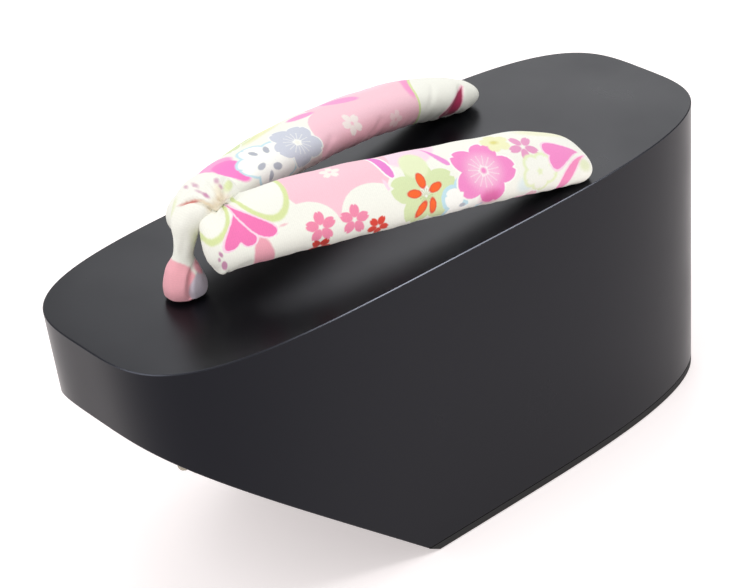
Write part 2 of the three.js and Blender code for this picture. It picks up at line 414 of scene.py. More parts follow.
class Stencils:
    """The node groups that say how far inside a printed shape a place on the cloth lies."""

    INPUTS = {
        "Place": "Vector",
        "Centre": "Vector",
        "Length": "Float",
        "Breadth": "Float",
        "Turn": "Float",
        "Notch": "Float",
        "Bend": "Float",
    }

    def __init__(self) -> None:
        """Cuts one stencil for each shape."""
        makers = {
            Shape.BLOSSOM: self.blossom,
            Shape.OVAL: self.oval,
            Shape.PETAL: self.petal,
            Shape.SPOKES: self.spokes,
        }
        self.trees = {shape: make() for shape, make in makers.items()}

    @staticmethod
    def maths(tree: bpy.types.NodeTree, operation: str, *values) -> bpy.types.NodeSocket:
        """Adds one sum to a stencil and returns its result.

        Args:
            tree: the stencil.
            operation: the sum's name.
            values: sockets or plain numbers.
        """
        numbers = {k: v for k, v in enumerate(values) if not isinstance(v, bpy.types.NodeSocket)}
        sockets = {k: v for k, v in enumerate(values) if isinstance(v, bpy.types.NodeSocket)}
        return add_node(tree, "ShaderNodeMath", {"operation": operation, **numbers}, sockets).outputs[0]

    def local(self, tree: bpy.types.NodeTree, given: bpy.types.Node) -> tuple:
        """Returns the place as seen from the shape's centre, along and across its own axis."""
        off = add_node(
            tree,
            "ShaderNodeVectorMath",
            {"operation": "SUBTRACT"},
            {0: given.outputs["Place"], 1: given.outputs["Centre"]},
        )
        back = self.maths(tree, "MULTIPLY", given.outputs["Turn"], -1.0)
        turned = add_node(
            tree,
            "ShaderNodeVectorRotate",
            {"rotation_type": "Z_AXIS"},
            {"Vector": off.outputs[0], "Angle": back},
        )
        parts = add_node(tree, "ShaderNodeSeparateXYZ", links={0: turned.outputs[0]})
        return parts.outputs[0], parts.outputs[1]

    def folded(self, tree: bpy.types.NodeTree, x, y, half_angle: float) -> tuple:
        """Folds the plane into one wedge about the axis, so that one petal stands for all."""
        sums = self.maths
        far = sums(tree, "SQRT", sums(tree, "ADD", sums(tree, "POWER", x, 2.0), sums(tree, "POWER", y, 2.0)))
        angle = sums(tree, "PINGPONG", sums(tree, "ARCTAN2", y, x), half_angle)
        along = sums(tree, "MULTIPLY", far, sums(tree, "COSINE", angle))
        aside = sums(tree, "MULTIPLY", far, sums(tree, "SINE", angle))
        return far, along, aside

    def notched(self, tree: bpy.types.NodeTree, given: bpy.types.Node, along, aside, inside):
        """Cuts the small notch out of a petal's tip."""
        sums = self.maths
        left = sums(tree, "SUBTRACT", 1.0, given.outputs["Notch"])
        tip = sums(tree, "MULTIPLY", given.outputs["Length"], left)
        edge = sums(tree, "MULTIPLY_ADD", aside, 1.1, sums(tree, "SUBTRACT", tip, along))
        return sums(tree, "MINIMUM", inside, sums(tree, "MULTIPLY", edge, 0.67))

    def blossom(self) -> bpy.types.NodeTree:
        """Returns five oval petals round a middle, each notched at its tip as a cherry's is."""
        tree, given, out = group_tree("cherry_blossom", self.INPUTS, ["Inside"])
        sums = self.maths
        x, y = self.local(tree, given)
        _, along, aside = self.folded(tree, x, y, math.pi / 5)
        radius = given.outputs["Length"]
        breadth = sums(tree, "MULTIPLY", radius, given.outputs["Breadth"])
        across = sums(tree, "DIVIDE", aside, breadth)
        down = sums(tree, "DIVIDE", sums(tree, "MULTIPLY_ADD", radius, -0.57, along), sums(tree, "MULTIPLY", radius, 0.43))
        ring = sums(tree, "ADD", sums(tree, "POWER", across, 2.0), sums(tree, "POWER", down, 2.0))
        inside = sums(tree, "MULTIPLY", sums(tree, "SUBTRACT", 1.0, sums(tree, "SQRT", ring)), breadth)
        inside = self.notched(tree, given, along, aside, inside)
        tree.links.new(inside, out.inputs["Inside"])
        return tree

    def oval(self) -> bpy.types.NodeTree:
        """Returns an oval."""
        tree, given, out = group_tree("oval", self.INPUTS, ["Inside"])
        sums = self.maths
        x, y = self.local(tree, given)
        long, broad = given.outputs["Length"], given.outputs["Breadth"]
        ring = sums(
            tree,
            "ADD",
            sums(tree, "POWER", sums(tree, "DIVIDE", x, long), 2.0),
            sums(tree, "POWER", sums(tree, "DIVIDE", y, broad), 2.0),
        )
        least = sums(tree, "MINIMUM", long, broad)
        inside = sums(tree, "MULTIPLY", sums(tree, "SUBTRACT", 1.0, sums(tree, "SQRT", ring)), least)
        tree.links.new(inside, out.inputs["Inside"])
        return tree

    def petal(self) -> bpy.types.NodeTree:
        """Returns one long petal that swells from its point, bent to one side."""
        tree, given, out = group_tree("long_petal", self.INPUTS, ["Inside"])
        sums = self.maths
        x, y = self.local(tree, given)
        share = sums(tree, "DIVIDE", x, given.outputs["Length"])
        share = add_node(tree, "ShaderNodeClamp", links={0: share}).outputs[0]
        left = sums(tree, "SUBTRACT", 1.0, share)
        arch = sums(tree, "MULTIPLY", sums(tree, "MULTIPLY", share, left), sums(tree, "MULTIPLY", given.outputs["Bend"], 4.0))
        aside = sums(tree, "ABSOLUTE", sums(tree, "SUBTRACT", y, arch))
        round_end = sums(tree, "SQRT", sums(tree, "SUBTRACT", 1.0, sums(tree, "POWER", share, 5.0)))
        swell = sums(tree, "MULTIPLY", sums(tree, "MULTIPLY", share, 1.5), round_end)
        width = sums(tree, "MULTIPLY", swell, given.outputs["Breadth"])
        ends = sums(tree, "MINIMUM", x, sums(tree, "SUBTRACT", given.outputs["Length"], x))
        inside = sums(tree, "MINIMUM", sums(tree, "SUBTRACT", width, aside), ends)
        inside = self.notched(tree, given, x, aside, inside)
        tree.links.new(inside, out.inputs["Inside"])
        return tree

    def spokes(self) -> bpy.types.NodeTree:
        """Returns a blossom's stamens: fifteen thin spokes with a dot at the end of each."""
        tree, given, out = group_tree("stamens", self.INPUTS, ["Inside"])
        sums = self.maths
        x, y = self.local(tree, given)
        far, along, aside = self.folded(tree, x, y, math.pi / 15)
        radius, breadth = given.outputs["Length"], given.outputs["Breadth"]
        thread = sums(tree, "SUBTRACT", breadth, aside)
        thread = sums(tree, "MINIMUM", thread, sums(tree, "SUBTRACT", radius, far))
        thread = sums(tree, "MINIMUM", thread, sums(tree, "MULTIPLY_ADD", radius, -0.22, far))
        past = sums(tree, "SUBTRACT", along, radius)
        away = sums(tree, "SQRT", sums(tree, "ADD", sums(tree, "POWER", past, 2.0), sums(tree, "POWER", aside, 2.0)))
        dot = sums(tree, "MULTIPLY_ADD", breadth, 1.8, sums(tree, "MULTIPLY", away, -1.0))
        tree.links.new(sums(tree, "MAXIMUM", thread, dot), out.inputs["Inside"])
        return tree


@dataclass(frozen=True)
class PrintedCrepe:
    """Polyester crepe, woven with tightly twisted weft and screen printed with cherry blossom."""

    name: str
    motifs: list[Motif]
    ground: Dye = Dye.CREAM
    thread_mm: float = 0.62
    bleed_mm: float = 0.3

    def stamp(self, tree: bpy.types.NodeTree, under, inside, reach: float, motif: Motif, ink: Dye):
        """Prints one shape over what is there.

        Args:
            tree: the material's node tree.
            under: the colour so far, or None on bare cloth.
            inside: how far inside the shape each place lies.
            reach: how far the ink goes past the shape's edge.
            motif: the shape's edge and strength.
            ink: the colour.

        Returns:
            The new colour.
        """
        mask = add_node(
            tree,
            "ShaderNodeMapRange",
            {
                "interpolation_type": "SMOOTHSTEP",
                "From Min": -reach - motif.soft,
                "From Max": -reach + motif.soft,
                "To Min": 0.0,
                "To Max": motif.strength,
            },
            {"Value": inside},
        )
        mix = add_node(
            tree,
            "ShaderNodeMix",
            {"data_type": "RGBA", 6: linear(self.ground.value), 7: linear(ink.value)},
            {0: mask.outputs["Result"]},
        )
        if under is not None:
            tree.links.new(under, mix.inputs[6])
        return mix.outputs[2]

    def printed(self, tree: bpy.types.NodeTree, cloth, stencils: Stencils):
        """Prints every motif in order.

        Args:
            tree: the material's node tree.
            cloth: the place on the cloth.
            stencils: the shapes.

        Returns:
            The finished colour.
        """
        colour = None
        for motif in self.motifs:
            shape = add_node(
                tree,
                "ShaderNodeGroup",
                {
                    "node_tree": stencils.trees[motif.shape],
                    "Centre": (*motif.place, 0.0),
                    "Length": motif.size[0],
                    "Breadth": motif.size[1],
                    "Turn": math.radians(motif.turn),
                    "Notch": motif.notch if motif.notch else -5.0,
                    "Bend": motif.bend,
                },
                {"Place": cloth},
            )
            inside = shape.outputs["Inside"]
            if motif.rim:
                colour = self.stamp(tree, colour, inside, motif.rim_width, motif, motif.rim)
            colour = self.stamp(tree, colour, inside, 0.0, motif, motif.ink)
        return colour

    def material(self, stencils: Stencils) -> bpy.types.Material:
        """Returns the cloth's material.

        The eye gets a matte, faintly pebbled cloth whose inks have soft edges. A few motifs deepen the colour where
        the cloth turns into shade, as painted shade.

        Args:
            stencils: the shapes.
        """
        mat = bpy.data.materials.new(f"printed_crepe_{self.name}")
        mat.use_nodes = True
        tree = mat.node_tree
        tree.nodes.clear()
        cloth = add_node(tree, "ShaderNodeUVMap", {"uv_map": "Cloth"})
        blur = add_node(
            tree,
            "ShaderNodeTexNoise",
            {"noise_dimensions": "2D", "Scale": 0.9, "Detail": 2.0},
            {"Vector": cloth.outputs["UV"]},
        )
        shift = add_node(
            tree,
            "ShaderNodeVectorMath",
            {"operation": "MULTIPLY_ADD", 1: (self.bleed_mm,) * 3, 2: (-self.bleed_mm / 2,) * 3},
            {0: blur.outputs["Color"]},
        )
        place = add_node(
            tree, "ShaderNodeVectorMath", {"operation": "ADD"}, {0: cloth.outputs["UV"], 1: shift.outputs[0]}
        )
        flat = add_node(
            tree, "ShaderNodeVectorMath", {"operation": "MULTIPLY", 1: (1.0, 1.0, 0.0)}, {0: place.outputs[0]}
        )
        colour = self.printed(tree, flat.outputs[0], stencils)
        pebble = add_node(
            tree,
            "ShaderNodeTexNoise",
            {"noise_dimensions": "2D", "Scale": 1 / self.thread_mm, "Detail": 3.0, "Roughness": 0.65},
            {"Vector": cloth.outputs["UV"]},
        )
        warp = add_node(
            tree,
            "ShaderNodeTexWave",
            {"bands_direction": "X", "Scale": 0.314 / self.thread_mm, "Distortion": 1.2, "Detail": 1.0},
            {"Vector": cloth.outputs["UV"]},
        )
        weave = add_node(
            tree, "ShaderNodeMath", {"operation": "MULTIPLY_ADD", 1: 0.2}, {0: warp.outputs["Fac"], 2: pebble.outputs["Fac"]}
        )
        shade = add_node(
            tree,
            "ShaderNodeMapRange",
            {"From Min": 0.3, "From Max": 0.8, "To Min": 0.94, "To Max": 1.0},
            {"Value": weave.outputs[0]},
        )
        dyed = add_node(
            tree,
            "ShaderNodeVectorMath",
            {"operation": "SCALE"},
            {0: colour, "Scale": shade.outputs["Result"]},
        )
        bump = add_node(
            tree,
            "ShaderNodeBump",
            {"Strength": 0.5, "Distance": 0.12 * MM},
            {"Height": weave.outputs[0]},
        )
        shader = add_node(
            tree,
            "ShaderNodeBsdfPrincipled",
            {"Roughness": 0.9, "Specular IOR Level": 0.25, "Sheen Weight": 0.2, "Sheen Roughness": 0.5},
            {"Base Color": dyed.outputs[0], "Normal": bump.outputs["Normal"]},
        )
        add_node(tree, "ShaderNodeOutputMaterial", links={"Surface": shader.outputs["BSDF"]})
        return mat


# Sub-assemblies


@dataclass
class Outline:
    """The sandal's rounded outline, squarer at the toe than at the heel."""

    length: float = 240
    width: float = 91
    height: float = 105
    side_squareness: float = 3.6
    toe_squareness: float = 4.5
    heel_squareness: float = 3.4
    toe_lean: float = 2.5
    heel_lean: float = 0.5
    side_lean: float = 0.3
    slant_foot_y: float = -29
    slant_toe_z: float = 78
    steps: int = 220

    def half_ring(self, inset: float) -> np.ndarray:
        """Returns X and Y down the +X side from the heel's middle to the toe's, evenly spaced by length.

        Args:
            inset: how far inside the outline the points lie.
        """
        angle = np.linspace(math.pi / 2, -math.pi / 2, 4000)
        c, s = np.cos(angle), np.sin(angle)
        square = np.where(s < 0, self.toe_squareness, self.heel_squareness)
        x = np.abs(c) ** (2 / self.side_squareness) * (self.width / 2 - inset)
        y = np.sign(s) * np.abs(s) ** (2 / square) * (self.length / 2 - inset)
        x[0] = x[-1] = 0
        run = np.concatenate([[0], np.cumsum(np.hypot(np.diff(x), np.diff(y)))])
        even = np.linspace(0, run[-1], self.steps + 1)
        points = np.column_stack([np.interp(even, run, x), np.interp(even, run, y)])
        nearest = np.abs(points[:, 1] - self.slant_foot_y).argmin()
        points[nearest, 1] = self.slant_foot_y
        return points

    def slant(self, y: np.ndarray) -> np.ndarray:
        """Returns the height of the slanted underside at places along the sandal."""
        return self.slant_toe_z * (self.slant_foot_y - y) / (self.slant_foot_y + self.length / 2)

    def lean(self, points: np.ndarray, z: np.ndarray) -> np.ndarray:
        """Leans outline points in a little towards the ground.

        Args:
            points: X and Y at the top.
            z: the height of each point.

        Returns:
            X, Y and Z.
        """
        depth = self.height - z
        x, y = points[:, 0], points[:, 1]
        end = np.where(y < 0, self.toe_lean, self.heel_lean)
        x = x * (1 - depth * math.tan(math.radians(self.side_lean)) / (self.width / 2))
        y = y * (1 - depth * np.tan(np.radians(end)) / (self.length / 2))
        return np.column_stack([x, y, z])

    def skin(self, rings: list[np.ndarray]) -> tuple[np.ndarray, list]:
        """Closes half rings into a whole solid, mirrored, with its two ends ruled across.

        Args:
            rings: the +X halves, from the heel's middle to the toe's, lowest ring first.

        Returns:
            The points and faces.
        """
        halves = [np.vstack([ring, ring[-2:0:-1] * (-1, 1, 1)]) for ring in rings]
        count = len(halves[0])
        verts = np.vstack(halves)
        faces = []
        for r in range(len(halves) - 1):
            for i in range(count):
                j = (i + 1) % count
                faces.append((r * count + j, r * count + i, (r + 1) * count + i, (r + 1) * count + j))
        half = len(rings[0]) - 1
        top = (len(halves) - 1) * count
        for base, flip in ((0, False), (top, True)):
            for i in range(half):
                right = (base + i, base + i + 1)
                left = (base + (count - i - 1) % count, base + (count - i) % count)
                quad = [*right, *left]
                quad = [q for k, q in enumerate(quad) if q not in quad[:k]]
                faces.append(tuple(reversed(quad)) if flip else tuple(quad))
        return verts, faces


@dataclass
class WoodenBlock:
    """The lacquered wooden block, hollowed from beneath and drilled for the straps."""

    outline: Outline = field(default_factory=Outline)
    sole_thickness: float = 3
    top_edge: float = 0.38
    low_edge: float = 0.5
    edge_steps: int = 5
    hollow: tuple = (-37, 37, -12, 96, 80)
    hollow_corner: float = 6
    toe_hole: tuple = (0, -81, 11)
    side_hole: tuple = (30, 53)
    hole_radius: float = 3.5

    def rings(self) -> list[np.ndarray]:
        """Returns the half rings of the outer skin, from the underside to the top."""
        shape = self.outline

        def low_ring(inset: float, lift: float) -> np.ndarray:
            points = shape.half_ring(inset)
            floor = self.sole_thickness
            z = np.maximum(shape.slant(points[:, 1]), floor) + lift
            return shape.lean(points, z)

        made = []
        for i in range(self.edge_steps + 1):
            turn = 0.5 * math.pi * i / self.edge_steps
            made.append(low_ring(self.low_edge * (1 - math.sin(turn)), self.low_edge * (1 - math.cos(turn))))
        for inset, drop in ((0, 1), (0.04, 0.9), (0.12, 0.76), (0.76, 0.12), (0.9, 0.04), (1, 0)):
            points = shape.half_ring(inset * self.top_edge)
            z = shape.height - drop * self.top_edge
            made.append(shape.lean(points, np.full(len(points), z)))
        return made

    def cutters(self) -> list[bpy.types.Object]:
        """Returns the tools that cut the hollow and the three strap holes."""
        x0, x1, y0, y1, top = self.hollow
        r = self.hollow_corner
        ring = []
        for cx, cy, start in ((x1 - r, y1 - r, 0), (x0 + r, y1 - r, 90), (x0 + r, y0 + r, 180), (x1 - r, y0 + r, 270)):
            for step in range(7):
                turn = math.radians(start + 15 * step)
                ring.append((cx + r * math.cos(turn), cy + r * math.sin(turn)))
        count = len(ring)
        verts = np.array([(x, y, z) for z in (-5, top) for x, y in ring])
        faces = [(i, (i + 1) % count, count + (i + 1) % count, count + i) for i in range(count)]
        faces += [tuple(range(count - 1, -1, -1)), tuple(range(count, 2 * count))]
        made = [make_object("hollow_cutter", verts, faces)]
        for x, y, tilt in (self.toe_hole, (*self.side_hole, 0), (-self.side_hole[0], self.side_hole[1], 0)):
            around = np.linspace(0, 2 * math.pi, 32, endpoint=False)
            circle = np.column_stack([np.cos(around), np.sin(around)]) * self.hole_radius
            rings = [np.column_stack([circle, np.full(32, z)]) for z in (-self.outline.height, 5)]
            turn = np.array(Matrix.Rotation(-math.radians(tilt), 3, "X"))
            verts = np.vstack(rings) @ turn.T + (x, y, self.outline.height)
            faces = [(i, (i + 1) % 32, 32 + (i + 1) % 32, 32 + i) for i in range(32)]
            faces += [tuple(range(31, -1, -1)), tuple(range(32, 64))]
            made.append(make_object("hole_cutter", verts, faces))
        return made

    def build(self, finish: bpy.types.Material, rim_finish: bpy.types.Material) -> bpy.types.Object:
        """Builds the block.

        Args:
            finish: the lacquer.
            rim_finish: the lacquer on the top's rim, polished by handling.

        Returns:
            The block, riding on the sandal's body.
        """
        block = make_object("lacquered_block", *self.outline.skin(self.rings()))
        cut_away(block, self.cutters())
        block.data.materials.append(finish)
        block.data.materials.append(rim_finish)
        for face in block.data.polygons:
            at_rim = face.center.z > (self.outline.height - self.top_edge) * MM
            if at_rim and 0.3 < face.normal.z < 0.95:
                face.material_index = 1
        crisp(block)
        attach(block, ROOT)
        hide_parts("block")
        return block


def cut_away(obj: bpy.types.Object, cutters: list[bpy.types.Object]) -> None:
    """Cuts each tool's shape out of an object and removes the tools."""
    for cutter in cutters:
        cut = obj.modifiers.new("cut", "BOOLEAN")
        cut.object = cutter
        cut.operation = "DIFFERENCE"
        cut.solver = "EXACT"
    settle(obj)
    for cutter in cutters:
        bpy.data.objects.remove(cutter)


def settle(obj: bpy.types.Object) -> None:
    """Replaces an object's mesh by the one that its modifiers make."""
    graph = bpy.context.evaluated_depsgraph_get()
    mesh = bpy.data.meshes.new_from_object(obj.evaluated_get(graph))
    obj.modifiers.clear()
    obj.data = mesh


def crisp(obj: bpy.types.Object, degrees: float = 30) -> None:
    """Shades an object smoothly with hard corners and true flat faces."""
    mesh = obj.data
    mesh.shade_smooth()
    mesh.set_sharp_from_angle(angle=math.radians(degrees))
    flat = obj.modifiers.new("flat_faces", "WEIGHTED_NORMAL")
    flat.keep_sharp = True
    flat.weight = 100


@dataclass
class RubberOutsole:
    """The rubber sheet under the ground face, bevelled at its front and open under the hollow."""

    block: WoodenBlock = field(default_factory=WoodenBlock)
    thickness: float = 2.94
    front_y: float = -27.5
    window_margin: float = 1

    def build(self, finish: bpy.types.Material) -> bpy.types.Object:
        """Builds the sheet from the block's outline.

        Args:
            finish: the rubber.

        Returns:
            The outsole, riding on the sandal's body.
        """
        shape = self.block.outline
        top_front = shape.slant_foot_y - self.thickness / (
            shape.slant_toe_z / (shape.slant_foot_y + shape.length / 2)
        )
        rings = []
        for z, inset, front in (
            (0, 0.4, self.front_y),
            (0.4, 0, self.front_y - 0.4),
            (self.thickness, 0, top_front),
        ):
            points = shape.half_ring(inset)
            keep = points[points[:, 1] > front + 0.5]
            width = np.interp(-front, -points[:, 1], points[:, 0])
            ends = np.array([[width, front], [0, front]])
            wall = np.vstack([keep, ends])
            run = np.concatenate([[0], np.cumsum(np.hypot(*np.diff(wall, axis=0).T))])
            corner = run[-2]
            even = np.concatenate([np.linspace(0, corner, 160), np.linspace(corner, run[-1], 12)[1:]])
            wall = np.column_stack([np.interp(even, run, wall[:, 0]), np.interp(even, run, wall[:, 1])])
            rings.append(shape.lean(wall, np.full(len(wall), float(z))))
        sheet = make_object("rubber_outsole", *shape.skin(rings))
        x0, x1, y0, y1, _ = self.block.hollow
        m = self.window_margin
        window = WoodenBlock(hollow=(x0 - m, x1 + m, y0 - m, y1 + m, 20)).cutters()
        for spare in window[1:]:
            bpy.data.objects.remove(spare)
        cut_away(sheet, window[:1])
        sheet.data.materials.append(finish)
        crisp(sheet)
        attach(sheet, ROOT)
        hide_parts("outsole")
        return sheet


class Side(Enum):
    """Which side of the sandal a strap is on, by the sign of X."""

    LEFT = 1
    RIGHT = -1


@dataclass
class PaddedTube:
    """A stuffed cloth tube of oval section along a path, with rounded ends.

    Each station is x, y, z, half width, half thickness and tilt.
    """

    name: str
    stations: list[tuple]
    across: tuple = (1, 0, 0)
    front_round: float = 9
    squareness: float = 2.0
    front_shear: float = 0.0
    shear_length: float = 14
    rear_round: float = 9
    rings: int = 300
    around: int = 120

    def surface(self) -> tuple[np.ndarray, np.ndarray, np.ndarray, np.ndarray]:
        """Works out the plain surface.

        Returns:
            Points and outward normals by ring and place round it, the length along the tube at
            each ring, and the distance round the section from the middle of its upper face.
        """
        rows = np.array(self.stations, float)
        fine = np.linspace(0, 1, 2000)
        line = through(rows, fine)
        run = np.concatenate([[0], np.cumsum(np.linalg.norm(np.diff(line[:, :3], axis=0), axis=1))])
        ends = 0.5 - 0.5 * np.cos(np.linspace(0, math.pi, self.rings))
        even = np.linspace(0, 1, self.rings)
        along = run[-1] * (0.35 * ends + 0.65 * even)
        along[0], along[-1] = 0.02, run[-1] - 0.02
        share = np.interp(along, run, fine)
        at = through(rows, share)
        centre = at[:, :3]
        tangent = unit(np.gradient(centre, axis=0))
        front = np.minimum(1, along / self.front_round)
        rear = np.minimum(1, (run[-1] - along) / self.rear_round)
        shrink = (1 - (1 - front) ** self.squareness) ** (1 / self.squareness) * np.sqrt(1 - (1 - rear) ** 2)
        tilt = np.radians(at[:, 5])
        side = np.sign(self.across[0])
        wide = np.column_stack([side * np.cos(tilt), np.zeros(len(tilt)), -np.sin(tilt)])
        wide = unit(wide - (wide * tangent).sum(1, keepdims=True) * tangent)
        thick = side * np.cross(wide, tangent)
        angle = np.linspace(-math.pi, math.pi, self.around, endpoint=False)
        a, b = (at[:, k] * shrink for k in (3, 4))
        rim = np.sin(angle)[None, :, None] * (a[:, None] * wide)[:, None, :]
        body = np.cos(angle)[None, :, None] * (b[:, None] * thick)[:, None, :]
        points = centre[:, None, :] + rim + body
        slip = self.front_shear * (1 - smooth(along / self.shear_length)) * shrink
        points = points - (slip[:, None] * np.sin(angle)[None, :])[..., None] * tangent[:, None, :]
        closed = np.concatenate([points, points[:, :1]], axis=1)
        steps = np.linalg.norm(np.diff(closed, axis=1), axis=2)
        whole = np.concatenate([np.zeros((len(points), 1)), np.cumsum(steps, axis=1)], axis=1)
        middle = self.around // 2
        round_it = whole - whole[:, middle : middle + 1]
        normals = self.normals_of(points, centre)
        return points, normals, along, round_it

    @staticmethod
    def normals_of(points: np.ndarray, centre: np.ndarray) -> np.ndarray:
        """Returns outward normals of a ring surface round its middle line."""
        around = np.roll(points, -1, axis=1) - np.roll(points, 1, axis=1)
        along = np.gradient(points, axis=0)
        normal = unit(np.cross(around, along))
        outward = ((points - centre[:, None, :]) * normal).sum(-1).mean()
        return normal if outward > 0 else -normal

    def mesh(self, points: np.ndarray, along: np.ndarray, round_it: np.ndarray) -> bpy.types.Object:
        """Makes the tube's object from its final points, with its cloth places kept as a UV map.

        Args:
            points: the points by ring and place round it.
            along: the length along the tube at each ring.
            round_it: the distance round the section, with the seam's far side as a last column.

        Returns:
            The object.
        """
        rings, around = points.shape[:2]
        faces, corners = ring_faces(rings, around)
        verts = np.vstack([points.reshape(-1, 3), points[0].mean(0), points[-1].mean(0)])
        ring = np.array([c[0] for c in corners])
        place = np.array([c[1] for c in corners])
        low = np.minimum(place.astype(int), around)
        high = np.minimum(low + 1, around)
        v = round_it[ring, low] + (round_it[ring, high] - round_it[ring, low]) * (place - low)
        uv = np.column_stack([along[ring], v])
        probe = points[rings // 2]
        turn = np.cross(probe[1] - probe[0], points[rings // 2 + 1][0] - probe[0])
        if np.dot(turn, probe[0] - probe.mean(0)) < 0:
            order = np.concatenate([np.arange(len(f))[::-1] + n for f, n in face_starts(faces)])
            faces = [tuple(reversed(f)) for f in faces]
            uv = uv[order]
        return make_object(self.name, verts, faces, uv)


def face_starts(faces: list) -> list[tuple]:
    """Pairs each face with the number of its first corner."""
    starts, total = [], 0
    for face in faces:
        starts.append((face, total))
        total += len(face)
    return starts


@dataclass(frozen=True)
class Crease:
    """A soft trough, or a ridge where the depth is negative, along a straight line on the cloth."""

    start: tuple[float, float]
    end: tuple[float, float]
    width: float
    depth: float

    def height(self, u: np.ndarray, v: np.ndarray) -> np.ndarray:
        """Works out how far the cloth moves outwards.

        Args:
            u: places along the cloth.
            v: places round the cloth.

        Returns:
            The move in millimetres, fading at both ends of the crease.
        """
        (u0, v0), (u1, v1) = self.start, self.end
        run = math.hypot(u1 - u0, v1 - v0)
        du, dv = (u1 - u0) / run, (v1 - v0) / run
        down = (u - u0) * du + (v - v0) * dv
        aside = (v - v0) * du - (u - u0) * dv
        fade = smooth(1 - np.abs(2 * down / run - 1) ** 2)
        return -self.depth * fade * np.exp(-((aside / self.width) ** 2))


@dataclass(frozen=True)
class Gather:
    """Cloth pulled together into a point, with pleats that run out from it."""

    place: tuple[float, float, float]
    reach: float
    dimple: float
    pleats: int
    pleat_depth: float
    turn: float = 0.0

    def height(self, points: np.ndarray, axis_u: np.ndarray, axis_v: np.ndarray) -> np.ndarray:
        """Works out how far the cloth moves outwards near the gathered point.

        Args:
            points: the surface points.
            axis_u: the cloth's direction along the tube at each point.
            axis_v: the cloth's direction round the tube at each point.

        Returns:
            The move in millimetres.
        """
        off = points - np.array(self.place)
        far = np.linalg.norm(off, axis=-1)
        angle = np.arctan2((off * axis_v).sum(-1), (off * axis_u).sum(-1)) + self.turn
        pleat = self.pleat_depth * np.cos(self.pleats * angle) * np.minimum(1, far / 2.0)
        fade = np.exp(-((far / self.reach) ** 2))
        return -self.dimple * np.exp(-((far / (0.45 * self.reach)) ** 2)) + pleat * fade


@dataclass
class SideStrap:
    """One padded side strap, from the crossing at the toe to its hole near the heel."""

    side: Side
    stations: list[tuple]
    rear_round: float
    gathers: list[Gather]
    creases: list[Crease]
    front_shear: float = 0.0
    seam_depth: float = 1.1
    seam_width: float = 1.3
    pucker_depth: float = 0.22
    pucker_every: float = 6.3
    wave_height: float = 0.22
    rest_z: float = 105.04
    plain_cloth: float = 160

    def neck(self) -> bpy.types.Object:
        """Builds the strap's narrow end, of plain cloth, which goes down into its hole."""
        rows = [(self.side.value * row[0], *row[1:]) for row in NECK_STATIONS]
        tube = PaddedTube("neck", rows, front_round=1, rear_round=3, rings=40, around=48)
        points, _, along, round_it = tube.surface()
        return tube.mesh(points, along + self.plain_cloth, round_it)

    def relief(self, points: np.ndarray, along: np.ndarray, round_it: np.ndarray) -> np.ndarray:
        """Adds up the seam, puckers, gathers and creases.

        Args:
            points: the plain surface points.
            along: the length along the strap at each ring.
            round_it: the distance round the section at each point.

        Returns:
            How far each point moves outwards.
        """
        u = np.broadcast_to(along[:, None], round_it.shape)
        half = np.maximum(np.abs(round_it).max(1, keepdims=True), 1)
        to_seam = half - np.abs(round_it)
        move = -self.seam_depth * np.exp(-((to_seam / self.seam_width) ** 2))
        drift = 1.3 * np.sin(u / 17.0 + self.side.value)
        pucker = np.cos(2 * math.pi * (u + drift) / self.pucker_every)
        move = move + self.pucker_depth * pucker * np.exp(-((to_seam / (0.36 * half)) ** 2))
        swell = np.sin(u / 5.1 + 0.35 * round_it) * np.sin(u / 8.3 - 0.21 * round_it + 1.1)
        move = move + self.wave_height * swell
        axis_u = unit(np.gradient(points, axis=0))
        axis_v = unit(np.roll(points, -1, axis=1) - np.roll(points, 1, axis=1))
        for gather in self.gathers:
            move = move + gather.height(points, axis_u, axis_v)
        for crease in self.creases:
            move = move + crease.height(u, round_it)
        ends = np.minimum(along, along[-1] - along)[:, None]
        return move * smooth(ends / 2.5)

    def build(self, finish: bpy.types.Material | None = None) -> bpy.types.Object:
        """Builds the strap.

        Args:
            finish: the printed cloth.

        Returns:
            The strap, riding on the sandal's body.
        """
        name = f"side_strap_{self.side.name.lower()}"
        mirrored = [(self.side.value * row[0], *row[1:]) for row in self.stations]
        tube = PaddedTube(
            name,
            mirrored,
            across=(self.side.value, 0, 0),
            rear_round=self.rear_round,
            squareness=2.3,
            front_shear=self.front_shear,
        )
        points, normals, along, round_it = tube.surface()
        points = points + normals * self.relief(points, along, round_it[:, :-1])[..., None]
        points[..., 2] = np.maximum(points[..., 2], self.rest_z)
        strap = tube.mesh(points, along, round_it)
        neck = self.neck()
        both = bmesh.new()
        both.from_mesh(strap.data)
        both.from_mesh(neck.data)
        both.to_mesh(strap.data)
        both.free()
        bpy.data.objects.remove(neck)
        if finish:
            strap.data.materials.append(finish)
        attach(strap, ROOT)
        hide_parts("straps")
        return strap


